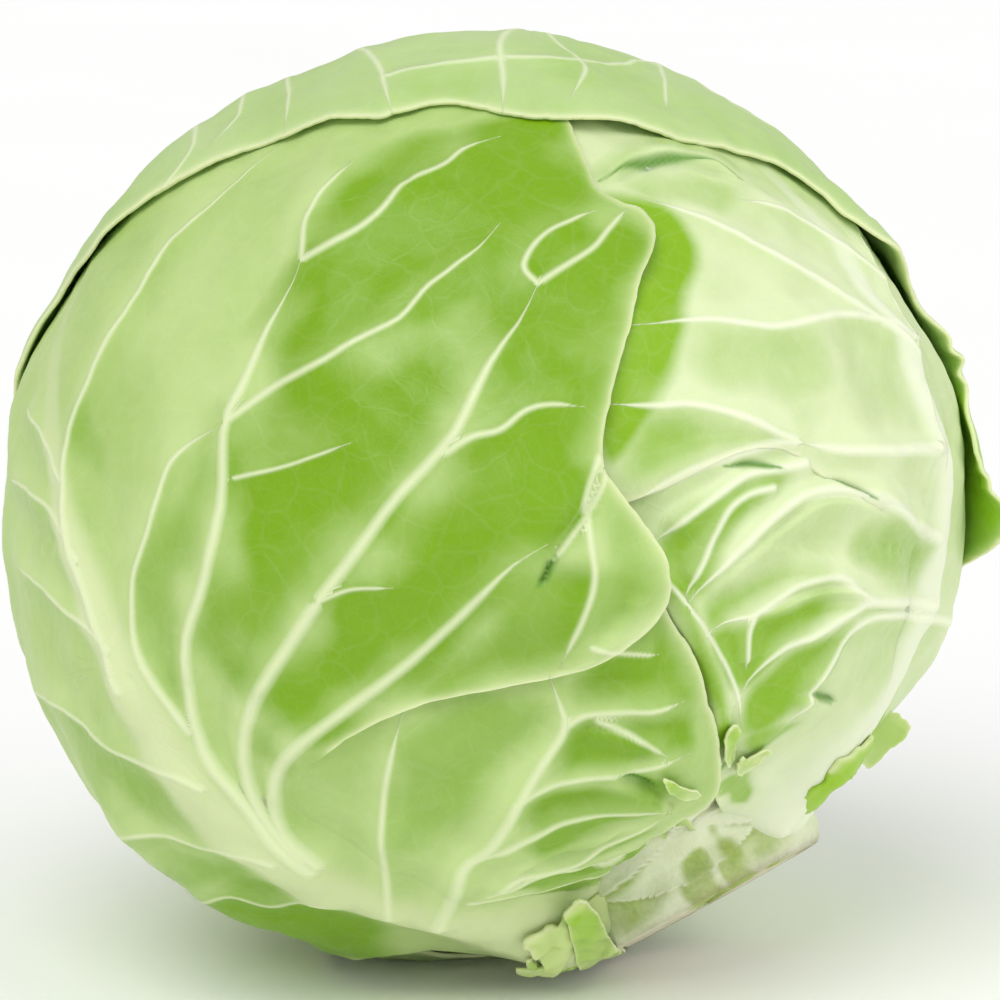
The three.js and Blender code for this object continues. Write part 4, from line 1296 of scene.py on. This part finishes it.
def mapped(tree, value, value_range, to_range, **settings):
    """A value carried from one range to another."""
    ends = zip(("From Min", "From Max", "To Min", "To Max"), (*value_range, *to_range))
    return node(tree, "ShaderNodeMapRange", {"Value": value, **dict(ends)}, **settings).outputs[0]


def noise(tree, at, size, **inputs):
    """Noise whose features are about that many mm across."""
    return node(tree, "ShaderNodeTexNoise", {"Vector": at, "Scale": 1 / (size * MM), **inputs})


def bumped(tree, shader, parts, distance):
    """Sums heights, each with its weight, and gives the shader the bumps that they make in mm."""
    height = 0.0
    for part, weight in parts:
        height = sums(tree, "ADD", sums(tree, "MULTIPLY", part, weight), height)
    bump = node(tree, "ShaderNodeBump", {"Height": height, "Distance": distance * MM, "Strength": 0.8})
    tree.links.new(bump.outputs["Normal"], shader.inputs["Normal"])


# Painted shade where hardly any light gets in, and the cream at a leaf's very edge, and on a stump
CREASE_SHADE_GREEN = "#528F0C"
MARGIN_CREAM = "#EDF2C4"
LEAF_KEYS = ("vein_near", "vein_side", "vein_width", "inside", "band", "fresh", "stalk", "crease")


def leaf_material(name, green, bloom, vein, stalk):
    """Fresh leaf: a waxy cuticle over green tissue. Where the grey-green bloom is whole the leaf is
    pale and matt, where it is rubbed off it is a clear saturated green with a soft gloss. The same green
    is painted as shade in the hollows and on one slope of the veins, and the pale as light on their
    ridges. Veins, stalk and the very edge are cream, and the creases are painted deep green as shade.
    A fine net of small veins lies between the drawn ones."""
    material, tree, shader, place_at = new_material(
        name, IOR=1.42, Subsurface_Weight=0.22, Subsurface_Radius=(0.9, 1.0, 0.25), Subsurface_Scale=2.2 * MM
    )
    read = attribute_values(tree, LEAF_KEYS)
    # A vein is a bell across it, and ends where another is nearer
    across = sums(tree, "DIVIDE", read["vein_side"], sums(tree, "MAXIMUM", read["vein_width"], 0.1))
    line = sums(tree, "EXPONENT", sums(tree, "MULTIPLY", sums(tree, "MULTIPLY", across, across), -0.9), 0.0)
    beyond = sums(tree, "SUBTRACT", read["vein_near"], sums(tree, "MULTIPLY", read["vein_width"], 1.1))
    vein_mask = sums(tree, "MULTIPLY", line, mapped(tree, beyond, (0.0, 0.4), (1.0, 0.0)))
    margin_mask = sums(tree, "EXPONENT", sums(tree, "MULTIPLY", read["inside"], -1.6), 0.0)
    # The small veins wander by up to 6 mm
    bent = noise(tree, place_at, 16.667, Detail=3.0).outputs["Color"]
    for operation, other in (("SUBTRACT", (0.5,) * 3), ("MULTIPLY", (12 * MM,) * 3), ("ADD", place_at)):
        bent = node(tree, "ShaderNodeVectorMath", {0: bent, 1: other}, operation=operation).outputs[0]
    # Small veins enclose cells of about 7 mm, and the finest ones cells of 2.4 mm
    nets = []
    for cell, thickness in ((7.0, 0.07), (2.4, 0.10)):
        cells = node(tree, "ShaderNodeTexVoronoi", {"Vector": bent, "Scale": 1 / (cell * MM)},
                     feature="DISTANCE_TO_EDGE").outputs["Distance"]
        nets.append(mapped(tree, cells, (0.0, thickness), (1.0, 0.0), interpolation_type="SMOOTHSTEP"))
    net = sums(tree, "ADD", sums(tree, "MULTIPLY", nets[0], 0.03), sums(tree, "MULTIPLY", nets[1], 0.02))
    # Blotches of 20 mm and a speckle of 2.4 mm keep the green from being even
    blotch = noise(tree, place_at, 20, Detail=5.0, Roughness=0.62).outputs["Fac"]
    speckle = noise(tree, bent, 2.381, Detail=3.0).outputs["Fac"]
    uneven = sums(tree, "MULTIPLY", sums(tree, "SUBTRACT", blotch, 0.5), 0.4)
    # How far towards the saturated green: where the bloom is rubbed off, and where shade is painted
    bare_and_shaded = sums(tree, "ADD", read["fresh"], uneven, clamp=True)
    frost = sums(tree, "MULTIPLY", sums(tree, "SUBTRACT", speckle, 0.42), 0.8, clamp=True)
    covers = (
        (sums(tree, "MULTIPLY", frost, sums(tree, "SUBTRACT", 1.0, bare_and_shaded)), bloom, 1.0),
        (net, vein, 1.0),
        (read["stalk"], stalk, 0.85),
        (read["band"], stalk, 0.85),
        (vein_mask, vein, 0.8),
        (margin_mask, MARGIN_CREAM, 0.8),
        # Painted shade: the creases are darkened to deep green
        (read["crease"], CREASE_SHADE_GREEN, 0.9),
    )
    ground = mixed(tree, bare_and_shaded, linear(bloom), linear(green))
    for mask, colour, strength in covers:
        ground = mixed(tree, sums(tree, "MULTIPLY", mask, strength), ground, linear(colour))
    tree.links.new(ground, shader.inputs["Base Color"])
    gloss = mapped(tree, sums(tree, "ADD", bare_and_shaded, speckle), (0.2, 1.6), (0.56, 0.36))
    tree.links.new(gloss, shader.inputs["Roughness"])
    bumped(tree, shader, [(nets[0], 0.16), (nets[1], 0.08), (speckle, 0.5), (vein_mask, 1.6)], 0.14)
    return material


def stump_material():
    """Cabbage pith, cut with a knife and dried: cream and fibrous, darker and browner where the skin
    meets the cut, green in the old leaf scars. It gives the eye a dull corky end to a fresh plant."""
    material, tree, shader, place_at = new_material(
        "dried cut cabbage pith", Roughness=0.72, Subsurface_Weight=0.12, Subsurface_Scale=1.5 * MM
    )
    read = attribute_values(tree, ("cut", "rim", "scar"))
    grain = noise(tree, place_at, 6.25, Detail=8.0, Roughness=0.7).outputs["Fac"]
    fibres = noise(tree, place_at, 1.111, Detail=4.0).outputs["Fac"]
    skin = mixed(tree, grain, linear("#F6F8E4"), linear("#D9E2B4"))
    face = mixed(tree, grain, linear("#F0ECD8"), linear("#BDB795"))
    olive = mixed(tree, fibres, linear("#B4CB5A"), linear("#7E9A2C"))
    bark = sums(tree, "MULTIPLY", read["scar"], sums(tree, "ADD", grain, 0.3), clamp=True)
    brown = sums(tree, "MULTIPLY", read["rim"], sums(tree, "MULTIPLY", grain, 1.3, clamp=True))
    ground = mixed(tree, read["cut"], skin, face)
    ground = mixed(tree, bark, ground, olive)
    ground = mixed(tree, brown, ground, linear("#8B8468"))
    tree.links.new(ground, shader.inputs["Base Color"])
    bumped(tree, shader, [(grain, 1.0), (fibres, 0.5)], 0.6)
    return material


# The heart's mesh, how far it lies inside the solid, and the leaf margins on it: their height, the
# degrees round the stem between them, and how they slant, as degrees from the stem for a whole step
HEART_COLUMNS, HEART_ROWS = 300, 150
HEART_SET_BACK = 0.5
SEAM_HEIGHT, SEAM_SPACING, SEAM_SLANT = 0.4, 72, 150


def heart_piece(material):
    """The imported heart: its radius, with the margins of inner leaves as low steps round the stem."""
    columns, rows = HEART_COLUMNS, HEART_ROWS
    polar = np.linspace(0, 180, rows + 1)[1:-1]
    longitude = np.linspace(0, 360, columns, endpoint=False)
    grid = np.stack(np.meshgrid(longitude, polar), -1).reshape(-1, 2)
    dirs = np.concatenate([[STEM_AXIS], on_head(grid), [-STEM_AXIS]])
    radius = heart_radius(dirs) + 0.3 * ripple(dirs, 18, 5)
    turn, down = np.pad(grid, ((1, 1), (0, 0))).T
    steps = SEAM_HEIGHT * ((turn / SEAM_SPACING + down / SEAM_SLANT) % 1)
    points = place(dirs, radius - HEART_SET_BACK + steps, FLAT_SPOT_HEIGHT)
    ring = 1 + np.arange(columns)
    after = np.roll(ring, -1)
    count = len(dirs)
    fan = np.stack([np.zeros(columns, int), after, ring], 1)
    shifts = (np.arange(rows - 2) * columns)[:, None, None]
    quads = (np.stack([ring, after, after + columns, ring + columns], 1)[None] + shifts).reshape(-1, 4)
    last = ring + (rows - 2) * columns
    tip = np.stack([np.full(columns, count - 1), last, np.roll(last, -1)], 1)
    faces = [fan, quads, tip]
    flat = points[quads[0]]
    if np.dot(np.cross(flat[1] - flat[0], flat[2] - flat[1]), flat[0] - HEAD_CENTRE) < 0:
        faces = [group[:, ::-1] for group in faces]
    attributes = {
        "vein_near": np.full(count, FAR),
        "vein_side": np.full(count, FAR),
        "vein_width": np.full(count, PLAIN_WIDTH),
        "inside": np.full(count, FAR),
        "band": np.zeros(count),
        "fresh": 0.4 + 0.3 * ripple(dirs, 20, 6),
        "stalk": 1 - soft_step(from_stem(dirs), 16, 40),
        "crease": np.zeros(count),
    }
    return add_mesh("packed_heart", points, faces, attributes, material)


# Green and olive bark left on the stump, as pixels round each patch
STUMP_PATCHES = [
    [(765, 868), (762, 840), (772, 816), (790, 812), (792, 836), (782, 860)],
    [(686, 886), (692, 873), (708, 870), (712, 882)],
    [(717, 870), (722, 860), (740, 858), (741, 868)],
    [(724, 812), (726, 788), (740, 780), (756, 790), (752, 810), (738, 816)],
]


def olive_patches(points):
    """How olive each point of the stump is: 1 inside a patch, fading over its uneven edge."""
    dirs = unit(points - HEAD_CENTRE)
    amount = np.zeros(len(dirs))
    flat_map = LeafMap(on_head([(0, 20)])[0])
    for pixels in STUMP_PATCHES:
        outline = unit(curve(seen_at(pixels, stump_radius), 40, closed=True))
        distance = chain_distance(dirs, outline, closed=True)[0]
        inside = inside_polygon(flat_map.flat(dirs), flat_map.flat(outline))
        signed = np.where(inside, distance, -distance) + 0.8 * ripple(dirs, 4, 9)
        amount = np.maximum(amount, soft_step(signed, -1.0, 0.6))
    return amount


# The stump's side: how far below its cut, and how much wider than the cut it is there, in mm
STEM_PROFILE = np.array([
    (0, -0.3), (1, 0.4), (2.5, 0.7), (7, 1.3), (12, STEM_NECK_RADIUS - STEM_CUT_RADIUS), (17, 2.7),
    (STEM_LENGTH, -2.3),
])
STEM_COLUMNS, SIDE_ROWS, FACE_ROWS = 260, 60, 40

# Old leaf scars on it: how many and the turn in degrees from each to the next, the first one's depth
# below the cut and the step to each next one in mm, how far their ends droop in mm for each square
# degree, and their half-width in degrees. Each is a ridge over a groove, in mm, and both run out
# over so many mm.
SCARS, SCAR_TURN = 14, 137.5
SCAR_FIRST, SCAR_STEP = 3.5, 1.0
SCAR_DROOP, SCAR_HALF_WIDTH = 0.0027, 34
SCAR_RIDGE, SCAR_RIDGE_REACH = 1.1, 1.6
SCAR_GROOVE, SCAR_GROOVE_REACH = 0.35, 0.8

# How rough the cut is, how far it lies behind the solid's, and how hollow it has dried, in mm
CUT_ROUGHNESS, CUT_SET_BACK, CUT_HOLLOW = 0.25, 0.25, 0.3


def with_ends(values, first, last):
    """A grid's values, with those of the single points before and after it."""
    return np.concatenate([[first], values.reshape(-1), [last]])


def stump_piece(material):
    """The stump: a profile of radius against depth carried round the stem's axis, with knobbly old
    leaf scars as crescents on its side, and a knife cut with a slightly torn face."""
    columns, face_rows = STEM_COLUMNS, FACE_ROWS
    turn = np.linspace(0, 2 * np.pi, columns, endpoint=False)
    depth = np.linspace(0, -STEM_LENGTH, SIDE_ROWS)
    side_radius = STEM_CUT_RADIUS + np.interp(-depth, *STEM_PROFILE.T)
    across = np.concatenate([np.linspace(0, 1, face_rows + 1)[1:-1] * side_radius[0], side_radius])
    down = np.concatenate([np.zeros(face_rows - 1), depth])
    across, around = np.meshgrid(across, turn, indexing="ij")
    down = np.repeat(down[:, None], columns, 1)
    is_face = np.arange(len(down))[:, None] < face_rows - 1
    scars = np.zeros_like(down)
    for k in range(SCARS):
        swing = (np.degrees(around) - SCAR_TURN * k % 360 + 180) % 360 - 180
        gap = down + SCAR_FIRST + SCAR_STEP * k + SCAR_DROOP * swing**2
        ridge = SCAR_RIDGE * np.exp(gap / SCAR_RIDGE_REACH)
        groove = SCAR_GROOVE * np.exp(-gap / SCAR_GROOVE_REACH)
        scars += np.exp(-((swing / SCAR_HALF_WIDTH) ** 4)) * np.where(gap < 0, ridge, -groove)
    scars *= soft_step(-down, 0.8, 3.5)
    scars += 0.35 * np.sin(5 * around + 1.3) * soft_step(-down, 0, 3)
    dirs = np.stack([np.cos(around), np.sin(around), down / 20], -1).reshape(-1, 3) / 4
    rough = CUT_ROUGHNESS * ripple(dirs, 6, 8).reshape(down.shape)
    hollow = CUT_HOLLOW * (across / STEM_CUT_RADIUS) ** 2
    cut_at = STEM_CUT_AT - CUT_SET_BACK
    height = cut_at + down + np.where(is_face, rough - hollow, 0)
    radius = across + np.where(is_face, 0, scars + rough)
    points = (
        HEAD_CENTRE
        + height[..., None] * STEM_AXIS
        + (radius * np.cos(around))[..., None] * FRONT_AXIS
        + (radius * np.sin(around))[..., None] * RIGHT_AXIS
    ).reshape(-1, 3)
    points = np.concatenate([
        [HEAD_CENTRE + cut_at * STEM_AXIS], points,
        [HEAD_CENTRE + (STEM_CUT_AT - STEM_LENGTH) * STEM_AXIS],
    ])
    rows = len(down)
    fan, quads = disc_faces(rows, columns, 0)
    last = 1 + (rows - 1) * columns + np.arange(columns)
    tail = np.stack([np.full(columns, len(points) - 1), np.roll(last, -1), last], 1)
    faces = [fan, quads, tail]
    if np.dot(np.cross(points[2] - points[0], points[1] - points[0]), STEM_AXIS) > 0:
        faces = [group[:, ::-1] for group in faces]
    attributes = {
        "cut": with_ends(is_face * np.ones_like(down), 1, 0),
        "rim": with_ends(np.exp(-np.hypot(across - STEM_CUT_RADIUS, down) / 1.3), 0, 0),
        "scar": np.maximum(with_ends(np.clip(-scars * 2.4, 0, 1), 0, 0), olive_patches(points)),
    }
    return add_mesh("cut_stump", points, faces, attributes, material)


outer_leaf = leaf_material("fresh waxy cabbage leaf", "#7AA804", "#C2D990", "#E4EDC2", "#DAE4B2")
pale_leaf = leaf_material("pale waxy cabbage leaf", "#86B410", "#DAE7B6", "#F0F5D8", "#ECF2D6")
crown_leaf = leaf_material("bloomed outer cabbage leaf", "#8DBD1C", "#BFD598", "#DFE9C0", "#D3E1A8")
torn_leaf = leaf_material("torn cabbage leaf", "#97C41A", "#CFE08E", "#E6EEC2", "#E6ECCB")
inner_leaf = leaf_material("blanched inner cabbage leaf", "#A5CF45", "#DCE9B0", "#F1F5DA", "#EEF3D6")

PIECES = [
    ("front", inner_leaf, "leaf_front", "outer_leaf", dict(seed=11, coarse=1.8)),
    ("under", crown_leaf, "leaf_under", "back_leaf", dict(seed=21, coarse=1.3)),
    ("right_lobe", pale_leaf, "leaf_right", "outer_leaf", dict(seed=41)),
    ("right", pale_leaf, "leaf_right", "outer_leaf", dict(seed=41)),
    ("torn_right", torn_leaf, "leaf_right", "outer_leaf", dict(seed=51, ragged=0.8, settle=2.0, curl=0)),
    ("left_lobe", outer_leaf, "leaf_left", "outer_leaf", dict(seed=71)),
    ("left", outer_leaf, "leaf_left", "outer_leaf", dict(seed=71, curl=0.45)),
    ("torn_low", torn_leaf, "leaf_left", "outer_leaf", dict(seed=81, ragged=0.8)),
    ("back", crown_leaf, "leaf_back", "back_leaf", dict(seed=91, curl=0.1, settle=1.2)),
]
for name, material, cad_node, slot, extra in PIECES:
    piece = leaf_piece(name, material, **extra)
    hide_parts(cad_node)

scraps = [side_flap(inner_leaf, 201)]
for k, (name, rise, pixels) in enumerate(SCRAPS):
    scraps.append(scrap_piece(name, rise, pixels, torn_leaf, 101 + 7 * k))

heart = heart_piece(inner_leaf)
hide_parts("heart")
stump = stump_piece(stump_material())
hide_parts("stump")


def paper_material():
    """Matt backdrop paper: white, faintly mottled, with no shine to draw the eye."""
    material, tree, shader, place_at = new_material(
        "white backdrop paper", Roughness=0.9, Specular_IOR_Level=0.1
    )
    mottle = noise(tree, place_at, 333.333).outputs["Fac"]
    tree.links.new(mixed(tree, mottle, linear("#FBFBFA"), linear("#FFFFFF")), shader.inputs["Base Color"])
    return material


TABLE_SIZE = 14  # in metres, so that its edge is out of sight
SKY_STRENGTH = 0.6

# Soft lamps far off: name, compass heading from the viewer's side round to the right, height above
# the table and breadth of the light in degrees, strength
LAMPS = [
    ("window", -22, 50, 42, 1.35),
    ("white_wall", 70, 15, 70, 1.0),
]


def stage():
    """A wide white table, a pale sky all round, a soft window light from above the viewer's left
    shoulder, and its glow off a white wall on the right."""
    bpy.ops.mesh.primitive_plane_add(size=TABLE_SIZE, location=(0, 0, 0))
    floor = bpy.context.object
    floor.name = "table"
    floor.data.materials.append(paper_material())
    world = bpy.data.worlds.new("studio")
    bpy.context.scene.world = world
    world.use_nodes = True
    sky = world.node_tree.nodes["Background"]
    sky.inputs["Color"].default_value = (1, 1, 1, 1)
    sky.inputs["Strength"].default_value = SKY_STRENGTH
    for name, heading, height, angle, strength in LAMPS:
        data = bpy.data.lights.new(name, "SUN")
        data.angle = np.radians(angle)
        data.energy = strength
        lamp = bpy.data.objects.new(name, data)
        bpy.context.scene.collection.objects.link(lamp)
        lamp.location = (0, 0, 2)
        lamp.rotation_euler = (np.radians(90 - height), 0, np.radians(heading))


def camera():
    """The photograph's view: level across, looking down on the head a little, with a long lens."""
    data = bpy.data.cameras.new("camera")
    data.sensor_width = SENSOR
    data.lens = LENS
    data.clip_end = 30
    made = bpy.data.objects.new("camera", data)
    bpy.context.scene.collection.objects.link(made)
    made.location = (HEAD_CENTRE + CAMERA_PLACE) * MM
    made.rotation_euler = (np.radians(90 - VIEWER_ABOVE), 0, 0)
    bpy.context.scene.camera = made


stage()
camera()
bpy.context.scene.view_settings.view_transform = "Standard"
